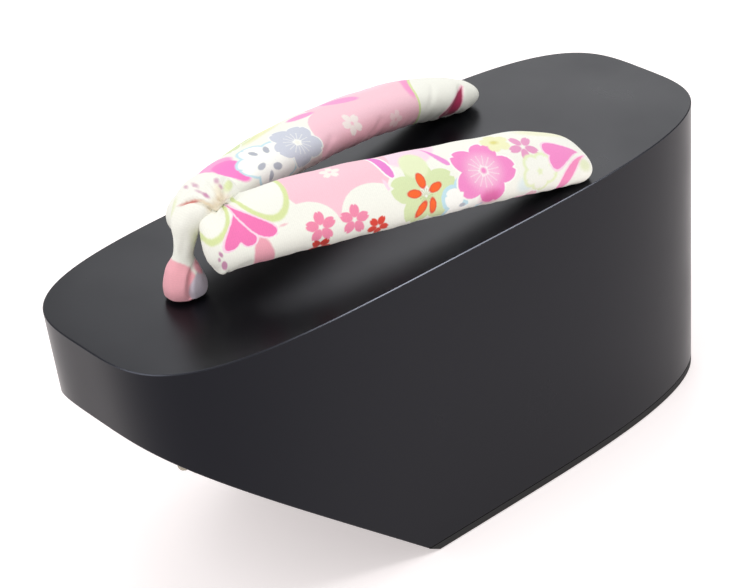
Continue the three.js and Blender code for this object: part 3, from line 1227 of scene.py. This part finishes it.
@dataclass
class ToeThong:
    """The toe thong: a bulb on the wood, a stem, and a hood drawn over the crossing."""

    stations: list[tuple]
    creases: list[Crease]
    gathers: list[Gather]
    fold_at: float = 27.6
    fold_run: float = 4.0
    fold_bend: float = 4.5
    fold_rise: float = 0.9
    fold_trough: float = 1.0

    def relief(self, points: np.ndarray, along: np.ndarray, round_it: np.ndarray) -> np.ndarray:
        """Adds up the hood's fold, the gathers and the creases.

        Args:
            points: the plain surface points.
            along: the length along the thong at each ring.
            round_it: the distance round the section at each point.

        Returns:
            How far each point moves outwards.
        """
        u = np.broadcast_to(along[:, None], round_it.shape)
        fold = self.fold_at + self.fold_run * (1 - np.exp(-np.maximum(round_it, 0) / self.fold_bend))
        past = u - fold
        shown = smooth((round_it + 0.6) / 2.2) * (1 - smooth((round_it - 10) / 4))
        move = self.fold_rise * smooth(past / 1.1) * (1 - smooth((past - 2) / 12)) * shown
        move = move - self.fold_trough * np.exp(-((past / 0.5) ** 2)) * shown
        move = move + 0.16 * np.sin(u / 2.9 + 0.4 * round_it) * np.sin(0.8 * round_it - u / 7)
        axis_u = unit(np.gradient(points, axis=0))
        axis_v = unit(np.roll(points, -1, axis=1) - np.roll(points, 1, axis=1))
        for gather in self.gathers:
            move = move + gather.height(points, axis_u, axis_v)
        for crease in self.creases:
            move = move + crease.height(u, round_it)
        ends = np.minimum(along, along[-1] - along)[:, None]
        return move * smooth(ends / 2)

    def build(self, finish: bpy.types.Material | None = None) -> bpy.types.Object:
        """Builds the thong.

        Args:
            finish: the printed cloth.

        Returns:
            The thong, riding on the sandal's body.
        """
        tube = PaddedTube("toe_thong", self.stations, front_round=1.6, rear_round=4, rings=260, around=120)
        points, normals, along, round_it = tube.surface()
        move = self.relief(points, along, round_it[:, :-1])
        thong = tube.mesh(points + normals * move[..., None], along, round_it)
        if finish:
            thong.data.materials.append(finish)
        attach(thong, ROOT)
        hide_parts("straps")
        return thong


@dataclass
class TyingCord:
    """A cotton cord down a strap hole, tied in a knot against the wood below."""

    name: str
    node: str
    x: float
    y: float
    length: float
    tilt: float = 0
    sway: float = 0
    radius: float = 2.0
    knot_radius: float = 3.8

    def build(self, finish: bpy.types.Material) -> bpy.types.Object:
        """Builds the cord with its knot.

        Args:
            finish: the cotton.

        Returns:
            The cord, riding on the sandal's body.
        """
        drop = -self.length - 3.8
        t = np.linspace(0, 1, 160)
        loop = 2 * math.pi * t
        knot = np.column_stack(
            [
                (np.sin(loop) + 2 * np.sin(2 * loop)) / 3 * self.knot_radius,
                (np.cos(loop) - 2 * np.cos(2 * loop)) / 3 * self.knot_radius + self.sway,
                -np.sin(3 * loop) * 1.7 + drop,
            ]
        )
        shaft = np.array([(0, 0, z) for z in np.linspace(-0.4, drop + 1.5, 24)])
        turn = np.array(Matrix.Rotation(-math.radians(self.tilt), 3, "X"))
        base = np.array([self.x, self.y, 105.0])
        parts = []
        for path, closed in ((knot, True), (shaft, False)):
            curve = bpy.data.curves.new(self.name, "CURVE")
            curve.dimensions = "3D"
            curve.bevel_depth = self.radius * MM
            curve.bevel_resolution = 6
            curve.use_fill_caps = True
            spline = curve.splines.new("POLY")
            path = path[:-1] if closed else path
            spline.points.add(len(path) - 1)
            spline.use_cyclic_u = closed
            world = (path @ turn.T + base) * MM
            spline.points.foreach_set("co", np.column_stack([world, np.ones(len(world))]).ravel())
            parts.append(bpy.data.objects.new(self.name, curve))
            bpy.context.scene.collection.objects.link(parts[-1])
        graph = bpy.context.evaluated_depsgraph_get()
        meshes = [bpy.data.meshes.new_from_object(p.evaluated_get(graph)) for p in parts]
        for part in parts:
            bpy.data.objects.remove(part)
        verts, faces = [], []
        for mesh in meshes:
            shift = len(verts)
            verts += [tuple(v.co / MM) for v in mesh.vertices]
            faces += [tuple(shift + i for i in p.vertices) for p in mesh.polygons]
            bpy.data.meshes.remove(mesh)
        cord = make_object(self.name, np.array(verts), faces)
        cord.data.materials.append(finish)
        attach(cord, ROOT)
        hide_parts(self.node)
        return cord


@dataclass
class Studio:
    """The pale floor, the soft lights and the camera."""

    azimuth: float = 52.04
    elevation: float = 31.39
    roll: float = 5.48
    distance: float = 756.5
    target: tuple = (-13.48, 0, 61.95)
    focal_pixels: float = 2249.9
    image_width: float = 741
    sensor: float = 36
    table_glow: float = 0.45

    def add_camera(self) -> None:
        """Places the camera at the photograph's angle to the sandal."""
        a, e, r = (math.radians(v) for v in (self.azimuth, self.elevation, self.roll))
        back = Vector((math.sin(a) * math.cos(e), -math.cos(a) * math.cos(e), math.sin(e)))
        right = Vector((math.cos(a), math.sin(a), 0))
        up = back.cross(right)
        turned_right = math.cos(r) * right - math.sin(r) * up
        turned_up = math.sin(r) * right + math.cos(r) * up
        data = bpy.data.cameras.new("camera")
        data.sensor_width = self.sensor
        data.lens = self.focal_pixels / self.image_width * self.sensor
        data.clip_start = 0.01
        camera = bpy.data.objects.new("camera", data)
        axes = Matrix((turned_right, turned_up, back)).transposed().to_4x4()
        place = (Vector(self.target) + back * self.distance) * MM
        camera.matrix_world = Matrix.Translation(place) @ axes
        bpy.context.scene.collection.objects.link(camera)
        bpy.context.scene.camera = camera

    def add_floor(self) -> None:
        """Lays the pale floor, a white acrylic light table that keeps the shadows faint."""
        mat = bpy.data.materials.new("lit_white_acrylic_table")
        mat.use_nodes = True
        tree = mat.node_tree
        tree.nodes.clear()
        shader = add_node(
            tree,
            "ShaderNodeBsdfPrincipled",
            {
                "Base Color": linear(Dye.FLOOR.value),
                "Roughness": 0.9,
                "Specular IOR Level": 0.1,
                "Emission Color": linear(Dye.TABLE_LIGHT.value),
                "Emission Strength": self.table_glow,
            },
        )
        add_node(tree, "ShaderNodeOutputMaterial", links={"Surface": shader.outputs["BSDF"]})
        reach = 6000
        corners = np.array([(-reach, -reach, 0), (reach, -reach, 0), (reach, reach, 0), (-reach, reach, 0)], float)
        floor = make_object("floor", corners, [(0, 1, 2, 3)])
        floor.data.materials.append(mat)

    def add_light(self, name: str, place: tuple, aim: tuple, size: float, watts: float) -> None:
        """Hangs one square soft light.

        Args:
            name: the light's name.
            place: where it hangs, in metres.
            aim: the point that it faces, in metres.
            size: the length of its side, in metres.
            watts: its power.
        """
        data = bpy.data.lights.new(name, "AREA")
        data.size = size
        data.energy = watts
        lamp = bpy.data.objects.new(name, data)
        lamp.location = place
        lamp.visible_camera = False
        lamp.rotation_euler = (Vector(aim) - Vector(place)).to_track_quat("-Z", "Y").to_euler()
        bpy.context.scene.collection.objects.link(lamp)

    def build(self) -> None:
        """Sets up the camera, floor, sky and lights."""
        self.add_camera()
        self.add_floor()
        world = bpy.data.worlds.new("soft_white_tent")
        world.use_nodes = True
        sky = world.node_tree.nodes["Background"]
        sky.inputs["Color"].default_value = linear("#ffffff")
        sky.inputs["Strength"].default_value = 0.5
        bpy.context.scene.world = world
        self.add_light("overhead_softbox", (0.22, -0.1, 1.5), (0, 0, 0.05), 1.0, 3.0)
        self.add_light("front_softbox", (-0.15, -0.95, 1.0), (0, 0, 0.08), 1.0, 7.6)
        self.add_light("back_softbox", (-1.05, 0.95, 0.95), (0, 0, 0.08), 0.9, 5.2)
        self.add_light("right_flash", (0.68, 0.68, 0.95), (0, 0, 0.1), 0.3, 4.0)
        bpy.context.scene.view_settings.view_transform = "Standard"


LEFT_STATIONS = [
    (9.2, -78.8, 122.8, 10.0, 6.6, 43),
    (10.8, -70.5, 125.1, 10.9, 7.0, 36),
    (16.6, -49, 125.4, 12.2, 7.2, 31),
    (22.3, -28, 124.3, 12.3, 7.5, 30),
    (26.8, -8, 122.2, 12, 7.6, 29),
    (30.4, 13, 119.1, 11.6, 7.7, 28),
    (32.8, 33, 115.4, 11.7, 7.4, 24),
    (34.3, 45, 111.4, 10.6, 6.6, 18),
    (35.2, 53.8, 107.2, 9.2, 3.7, 10),
]
RIGHT_STATIONS = [
    (6.8, -71.6, 123, 9, 6.4, 34),
    (10.2, -67, 124.3, 12.3, 6.8, 24),
    (15.2, -49, 124.7, 13.1, 7.1, 15),
    (19.9, -28, 124.1, 13.1, 7.5, 12),
    (23.6, -8, 122.3, 12.8, 7.5, 11),
    (26.3, 13, 119.8, 12.1, 7.5, 11),
    (28.2, 34, 116, 11, 7.3, 10),
    (28.4, 51, 111.3, 9.2, 6.6, 9),
    (26.4, 64.5, 108.6, 5.2, 3.6, 2),
]
NECK_STATIONS = [
    (30, 53, 104.2, 3.3, 3.3, 0),
    (30, 52.8, 105.6, 4.2, 4.2, 0),
    (30.6, 51.4, 107.6, 4.6, 4.6, 0),
    (31.2, 50, 110, 3.6, 3.6, 0),
]
THONG_STATIONS = [
    (0, -81, 105.1, 6.5, 6.5, 0),
    (0, -81, 109.2, 6.7, 6.7, 0),
    (0, -80.8, 113.8, 5.4, 5.3, 0),
    (0.2, -80.2, 118.4, 3.3, 3.3, 0),
    (0.5, -79.1, 124, 3.6, 3.5, 0),
    (0.2, -77.4, 129.3, 5.4, 4.5, 0),
    (0, -73.4, 133.3, 7.5, 4.9, 0),
    (0, -67, 135.2, 7.8, 4.8, 0),
    (0, -61.8, 131, 5.4, 4.0, 0),
    (0, -62.4, 122, 4.4, 3.6, 0),
    (0, -68, 116.5, 4.4, 3.6, 0),
]
BLOSSOM, OVAL, PETAL, SPOKES = Shape.BLOSSOM, Shape.OVAL, Shape.PETAL, Shape.SPOKES
NEAR_PRINT = [
    Motif(OVAL, (70, -15), (12, 13), 0, Dye.BLUSH, soft=0.8),
    Motif(OVAL, (45, -12), (19, 21), 0, Dye.FIELD_PINK),
    Motif(OVAL, (31, 11), (10.4, 10.4), 0, Dye.CREAM),
    Motif(OVAL, (52.5, 11), (11, 11), 0, Dye.CREAM),
    Motif(BLOSSOM, (44.5, -8.2), (3.3, 0.32), -80, Dye.CREAM, notch=0.1, strength=0.85),
    Motif(OVAL, (20.6, -12), (13.7, 7.0), 79, Dye.CREAM, Dye.LIME, 1.25, soft=0.3),
    Motif(OVAL, (5.1, -7.9), (4.2, 8.6), 0, Dye.CREAM, Dye.LIME, 1.05, soft=0.3),
    Motif(OVAL, (15.9, 14.5), (3.3, 8.0), 0, Dye.ROSE, soft=0.4),
    Motif(PETAL, (11, -3.6), (11.6, 2.7), 114, Dye.BLUSH, bend=-0.6),
    Motif(PETAL, (11, -3.6), (12.2, 2.7), 77.4, Dye.BLUSH, bend=0.6),
    Motif(PETAL, (11, -3), (10.6, 2.2), 114, Dye.HOT_PINK, bend=-0.6),
    Motif(PETAL, (11, -3), (11.2, 2.2), 77.4, Dye.HOT_PINK, bend=0.6),
    Motif(OVAL, (10.3, 3.2), (2.7, 2.0), 90, Dye.HOT_PINK),
    Motif(PETAL, (10.8, -8), (18.2, 2.35), 56.4, Dye.HOT_PINK, Dye.BLUSH, 0.55, bend=1.7),
    Motif(OVAL, (23.8, 5.5), (1.3, 0.35), 0, Dye.ROSE, strength=0.6),
    Motif(OVAL, (3.9, 5.6), (1.0, 0.45), 75, Dye.PLUM, strength=0.8),
    Motif(OVAL, (2.9, 6.4), (0.65, 0.4), 80, Dye.PLUM, strength=0.7),
    Motif(OVAL, (3.8, 9.2), (1.5, 0.95), 75, Dye.PLUM, strength=0.8),
    Motif(BLOSSOM, (34.8, 9.7), (5.0, 0.32), -88, Dye.PETAL_PINK, notch=0.1),
    Motif(BLOSSOM, (45.7, 10.2), (4.8, 0.32), -80, Dye.PETAL_PINK, notch=0.1),
    Motif(BLOSSOM, (34.2, 17), (4.0, 0.33), -54, Dye.RED, notch=0.1),
    Motif(BLOSSOM, (53, 14.3), (3.6, 0.33), -56, Dye.VERMILION, notch=0.1),
    Motif(PETAL, (57, -24), (24.8, 1.45), 78.8, Dye.STRIPE, Dye.WHITE, 0.6),
    Motif(OVAL, (58.8, 2.8), (2.8, 0.6), 80, Dye.BLUSH),
    Motif(BLOSSOM, (70, 7.2), (11.2, 0.4), -90, Dye.PALE_GREEN, Dye.CREAM, 0.6, notch=0.1),
    Motif(OVAL, (70, -2.4), (4.5, 5.2), 0, Dye.PALER_GREEN, soft=0.6),
    Motif(SPOKES, (70, 8.6), (2.1, 0.12), 0, Dye.LEAF, strength=0.7),
    Motif(OVAL, (69.7, 3.5), (2.3, 1.25), 90, Dye.ORANGE, Dye.VERMILION, 0.25),
    Motif(OVAL, (66.3, 7.2), (2.0, 1.1), 8, Dye.ORANGE, Dye.VERMILION, 0.25),
    Motif(OVAL, (73.7, 6.6), (2.0, 1.1), -22, Dye.ORANGE, Dye.VERMILION, 0.25),
    Motif(OVAL, (67.7, 12.4), (2.4, 1.0), -48, Dye.ORANGE, Dye.VERMILION, 0.3),
    Motif(OVAL, (71.7, 12), (2.0, 0.9), 96, Dye.ORANGE, Dye.VERMILION, 0.3),
    Motif(PETAL, (75.6, -10), (12, 1.05), 62, Dye.STRIPE, soft=0.35, strength=0.9),
    Motif(BLOSSOM, (83, 13.5), (7.6, 0.42), -80, Dye.WHITE, Dye.SKY, 1.2, notch=0.08),
    Motif(OVAL, (82, 14), (1.1, 0.7), 0, Dye.GREY_INK),
    Motif(BLOSSOM, (91.6, 4.9), (11.3, 0.4), -66, Dye.MAGENTA, Dye.WHITE, 0.5, notch=0.09),
    # painted shade: the big magenta blossom's lower side is deepened, partly a deeper print and partly the shade that
    # falls there
    Motif(OVAL, (92.5, 14), (3.6, 3.0), 0, Dye.DEEP_MAGENTA_AND_PAINTED_SHADE, soft=1.6, strength=0.6),
    Motif(OVAL, (91.6, 4.9), (5.6, 5.6), 0, Dye.BLUSH, soft=3.2, strength=0.6),
    Motif(SPOKES, (91.6, 4.9), (5.2, 0.1), 0, Dye.WHITE, strength=0.6),
    Motif(OVAL, (91.6, 4.9), (1.0, 1.0), 0, Dye.MAGENTA, soft=0.6),
    Motif(BLOSSOM, (101.4, -4.8), (5.1, 0.42), -90, Dye.YELLOW, notch=0.08, soft=0.4),
    Motif(OVAL, (101.1, -4.8), (1.4, 1.1), 0, Dye.OCHRE, soft=0.8),
    Motif(BLOSSOM, (109.2, 0), (5.5, 0.27), -41, Dye.ORCHID, notch=0.1),
    Motif(OVAL, (105.5, 12.5), (3.2, 2.6), 0, Dye.SKY, soft=1.2, strength=0.4),
    Motif(BLOSSOM, (111.5, 9.4), (6.0, 0.42), -54, Dye.CREAM, Dye.PALER_GREEN, 1.0, notch=0.08, soft=0.5),
    Motif(OVAL, (121, -6.5), (9, 3.2), 12, Dye.YELLOW, soft=1.0, strength=0.6),
    Motif(PETAL, (130.2, 3.8), (15.0, 3.2), 188.4, Dye.BLUSH, bend=-0.8),
    Motif(PETAL, (130.2, 3.8), (15.0, 3.3), 160.8, Dye.BLUSH, bend=0.8),
    Motif(PETAL, (129.6, 3.8), (13.8, 2.7), 188.4, Dye.MAGENTA, bend=-0.8),
    Motif(PETAL, (129.6, 3.8), (13.8, 2.8), 160.8, Dye.MAGENTA, bend=0.8),
    Motif(PETAL, (131.5, 5.2), (17.2, 2.1), 127.6, Dye.HOT_PINK, Dye.BLUSH, 0.6, bend=2.4, strength=0.85),
    Motif(OVAL, (130.6, 8.8), (2.4, 2.0), 0, Dye.LIME, soft=1.0, strength=0.55),
    Motif(BLOSSOM, (20, -26), (5.2, 0.32), 20, Dye.PETAL_PINK, notch=0.1),
    Motif(BLOSSOM, (41, -23), (7.4, 0.4), 10, Dye.MAGENTA, Dye.WHITE, 0.5, notch=0.09),
    Motif(SPOKES, (41, -23), (3.6, 0.15), 0, Dye.WHITE, strength=0.75),
    Motif(BLOSSOM, (78, -21), (8.2, 0.4), -30, Dye.PALE_GREEN, Dye.CREAM, 0.5, notch=0.1),
    Motif(BLOSSOM, (96, -17), (4.0, 0.33), -10, Dye.VERMILION, notch=0.1),
    Motif(BLOSSOM, (113, -18), (6.4, 0.42), 40, Dye.WHITE, Dye.SKY, 1.0, notch=0.08),
    Motif(BLOSSOM, (12, 23), (5.2, 0.32), 15, Dye.PETAL_PINK, notch=0.1),
    Motif(BLOSSOM, (62, 25), (7.0, 0.4), 25, Dye.MAGENTA, Dye.WHITE, 0.5, notch=0.09),
    Motif(BLOSSOM, (45, 24), (4.4, 0.33), 60, Dye.PETAL_PINK, notch=0.1),
    Motif(BLOSSOM, (108, 22), (6.4, 0.4), 0, Dye.FIELD_PINK, Dye.WHITE, 0.5, notch=0.1),
]
FAR_PRINT = [
    Motif(OVAL, (68.7, -15.5), (14.5, 14.5), 0, Dye.FIELD_PINK),
    Motif(OVAL, (92, -6), (27, 30), 0, Dye.FIELD_PINK),
    # painted shade: a deeper rose pink toward the strap's lower edge, partly the print's own gradient and partly the
    # shade where that face turns from the light
    Motif(OVAL, (82, -21), (29, 6), 0, Dye.ROSE, soft=4.5, strength=0.9),
    Motif(OVAL, (90, 5), (24, 5), 0, Dye.BLUSH, soft=3.0, strength=0.7),
    Motif(OVAL, (61.5, 0.9), (5.2, 2.0), -12, Dye.LIGHT_MAGENTA, soft=0.35),
    Motif(OVAL, (79.0, -0.1), (6.6, 2.3), -27, Dye.LIGHT_MAGENTA, soft=0.35),
    Motif(BLOSSOM, (72.1, -12.9), (4.3, 0.33), -113, Dye.CREAM, notch=0.1, strength=0.7),
    Motif(BLOSSOM, (92.3, -16.6), (3.4, 0.33), -75, Dye.CREAM, notch=0.1, strength=0.35),
    Motif(OVAL, (108.2, -3.4), (8.6, 3.0), 58, Dye.MAGENTA, soft=0.6, strength=0.8),
    Motif(OVAL, (124.3, -14), (18.9, 18.9), 0, Dye.CREAM, Dye.LIME, 0.9),
    Motif(OVAL, (130.5, 5), (12, 12), 0, Dye.CREAM),
    Motif(PETAL, (131.0, -6.0), (18.9, 2.8), -126, Dye.WINE, Dye.FIELD_PINK, 0.6, soft=0.4),
    Motif(OVAL, (22.7, 2.4), (5.5, 6.5), -23, Dye.LIGHT_MAGENTA, soft=0.8),
    Motif(OVAL, (21.1, -5.9), (4.5, 8), -9, Dye.PATCH_MAGENTA, soft=0.5),
    Motif(BLOSSOM, (32.5, -11.7), (10.9, 0.42), -123, Dye.WHITE, Dye.SKY, 0.9, notch=0.08, soft=0.4),
    Motif(OVAL, (32.5, -11.7), (2.2, 2.2), 0, Dye.WHITE, soft=0.5),
    Motif(OVAL, (28.3, -12.0), (2.0, 0.99), 14, Dye.GREY_INK),
    Motif(OVAL, (33.5, -14.5), (1.8, 1.2), -10, Dye.GREY_INK),
    Motif(OVAL, (36.3, -7.1), (2.0, 0.97), 52, Dye.GREY_INK),
    Motif(OVAL, (31.8, -5.6), (1.7, 1), 94, Dye.GREY_INK),
    Motif(OVAL, (29.3, -16.2), (1.8, 0.84), 53, Dye.GREY_INK),
    Motif(BLOSSOM, (47.0, -10.9), (9.2, 0.42), -108, Dye.SLATE, Dye.WHITE, 0.5, notch=0.08),
    Motif(SPOKES, (47.0, -10.9), (4.4, 0.11), 0, Dye.WHITE, strength=0.7),
    Motif(OVAL, (46.4, 3.9), (9.0, 2.1), 9, Dye.YELLOW, soft=1.0),
    Motif(OVAL, (39.5, 4.6), (4.8, 1.4), -6, Dye.LIME, soft=0.8, strength=0.6),
    Motif(OVAL, (65.3, 13), (12, 9), 0, Dye.CREAM),
    Motif(OVAL, (87.3, 15), (12, 10), 0, Dye.CREAM),
    Motif(BLOSSOM, (62.3, 13), (5.2, 0.32), 20, Dye.PETAL_PINK, notch=0.1),
    Motif(BLOSSOM, (72.3, 17), (3.8, 0.33), 5, Dye.VERMILION, notch=0.1),
    Motif(BLOSSOM, (91.3, 11), (9.4, 0.4), 12, Dye.MAGENTA, Dye.WHITE, 0.5, notch=0.09),
    Motif(SPOKES, (91.3, 11), (4.4, 0.16), 0, Dye.WHITE, strength=0.75),
    Motif(BLOSSOM, (37.3, 13), (9.6, 0.4), 30, Dye.PALE_GREEN, Dye.CREAM, 0.5, notch=0.1),
    Motif(BLOSSOM, (37.3, 13), (4.2, 0.2), 66, Dye.ORANGE, Dye.VERMILION, 0.2),
    Motif(BLOSSOM, (17.3, 12), (5.0, 0.32), 10, Dye.PETAL_PINK, notch=0.1),
    Motif(BLOSSOM, (113.3, 11), (5.0, 0.32), -30, Dye.PETAL_PINK, notch=0.1),
    Motif(BLOSSOM, (27.3, 27), (6.2, 0.4), 0, Dye.MAGENTA, Dye.WHITE, 0.5, notch=0.09),
    Motif(BLOSSOM, (53.3, 26), (5.2, 0.32), 40, Dye.PETAL_PINK, notch=0.1),
    Motif(BLOSSOM, (101.3, 24), (6.2, 0.42), 15, Dye.WHITE, Dye.SKY, 1.0, notch=0.08),
]
THONG_PRINT = [
    Motif(OVAL, (3, 0.5), (9.6, 10.5), 0, Dye.BULB_PINK, soft=0.4),
    Motif(OVAL, (4, 17.0), (8.5, 9.3), 0, Dye.LILAC, soft=0.5),
    Motif(OVAL, (9.9, 11.5), (4.4, 1.5), 118, Dye.ROSE, soft=0.5),
    Motif(OVAL, (26.4, -4), (2.4, 2.4), 0, Dye.LIME, soft=1.0, strength=0.5),
    # tan tints along the creases by the pinch: partly the cloth's own tan and partly painted shade in the gathers
    Motif(OVAL, (33.6, 9.6), (3.4, 1.8), 0, Dye.STRAW_AND_CREASE_SHADE, soft=1.2, strength=0.7),
    Motif(OVAL, (35.6, 7.4), (1.0, 2.6), 12, Dye.STRAW_AND_CREASE_SHADE, soft=0.8, strength=0.6),
    Motif(OVAL, (29.3, 2.6), (2.9, 0.3), 60, Dye.RED, soft=0.25, strength=0.8),
    Motif(OVAL, (31.3, 7.4), (2.2, 0.35), 76, Dye.STRAW_AND_CREASE_SHADE, soft=0.4),
    Motif(OVAL, (33.3, 0.2), (2.0, 0.5), 96, Dye.PLUM, soft=0.35, strength=0.6),
    Motif(OVAL, (32.4, 3.6), (1.3, 0.35), 80, Dye.PLUM, soft=0.3, strength=0.5),
    Motif(OVAL, (32.7, 5.8), (1.1, 0.5), 90, Dye.PLUM, soft=0.3, strength=0.8),
    Motif(OVAL, (32.0, -2.9), (1.3, 0.45), 94, Dye.PLUM, soft=0.35, strength=0.6),
    Motif(OVAL, (36.7, 3.7), (1.1, 0.45), 100, Dye.PLUM, soft=0.3, strength=0.6),
    Motif(OVAL, (36.7, 6.0), (0.8, 0.45), 90, Dye.PLUM, soft=0.3, strength=0.6),
    Motif(OVAL, (38.7, 5.6), (2.8, 0.9), -58, Dye.LIME, soft=0.4, strength=0.9),
]
PINCH = (7.4, -69.0, 134.6)


def left_strap() -> SideStrap:
    """Returns the near side's strap with its folds."""
    gathers = [Gather(PINCH, 6.0, 0.7, 7, 0.4, 0.4)]
    creases = [
        Crease((0.0, 10.2), (4.6, 12.6), 1.4, -1.0),
        Crease((8.4, -12), (6.6, -5), 0.55, 0.6),
        Crease((6, 15), (13, 13), 1.1, 0.5),
        Crease((11.5, -6), (9.5, 6), 1.6, 0.35),
        Crease((30, 12), (36, 17), 1.4, 0.3),
        Crease((116, -9), (124, -4), 1.5, 0.4),
        Crease((124, 8), (133, 2), 1.3, 0.45),
    ]
    return SideStrap(Side.LEFT, LEFT_STATIONS, 5.5, gathers, creases, front_shear=3.2)


def right_strap() -> SideStrap:
    """Returns the far side's strap with its folds."""
    creases = [
        Crease((121, -19), (132, -4), 1.3, 1.0),
        Crease((108, -17), (117, -5), 1.2, 0.35),
        Crease((54, -19), (63, -13), 1.3, 0.4),
        Crease((80, -20), (87, -14), 1.2, 0.4),
        Crease((17, -14), (29, -7), 1.5, 0.4),
    ]
    return SideStrap(Side.RIGHT, RIGHT_STATIONS, 6, [], creases)


def toe_thong() -> ToeThong:
    """Returns the toe thong with its folds."""
    creases = [
        Crease((-1, 8.2), (13, 6.8), 0.9, 1.3),
        Crease((1, -7), (10, -6), 1.4, 0.5),
        Crease((13, 2), (24, 4), 1.2, 0.3),
        Crease((34.2, 11), (36.4, 0), 0.55, 0.9),
        Crease((35, 11), (39.4, 1.5), 0.55, 0.8),
        Crease((33, 10), (34.6, 3), 0.45, 0.4),
    ]
    return ToeThong(THONG_STATIONS, creases, [Gather(PINCH, 5.5, 0.6, 8, 0.4)])


def main() -> None:
    """Builds the sandal's pieces around the frame, in order."""
    logging.basicConfig(level=logging.INFO)
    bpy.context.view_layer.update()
    Studio().build()
    lacquer = SatinLacquer().material()
    polished = SatinLacquer("lacquer_rubbed_bright_at_the_rim", roughness=0.24, specular=0.6).material()
    rubber = RubberSheet().material()
    cotton = CottonCord().material()
    stencils = Stencils()
    block = WoodenBlock()
    pieces = [
        block.build(lacquer, polished),
        RubberOutsole(block).build(rubber),
        left_strap().build(PrintedCrepe("left", NEAR_PRINT).material(stencils)),
        right_strap().build(PrintedCrepe("right", FAR_PRINT).material(stencils)),
        toe_thong().build(PrintedCrepe("thong", THONG_PRINT).material(stencils)),
        TyingCord("toe_tying_cord", "toe_cord", 0, -81, 54.7, 11, 5.2).build(cotton),
        TyingCord("left_tying_cord", "side_cord_left", 30, 53, 25).build(cotton),
        TyingCord("right_tying_cord", "side_cord_right", -30, 53, 25).build(cotton),
    ]
    for piece in pieces:
        log.info("%s: %d faces", piece.name, len(piece.data.polygons))


if __name__ == "__main__":
    main()
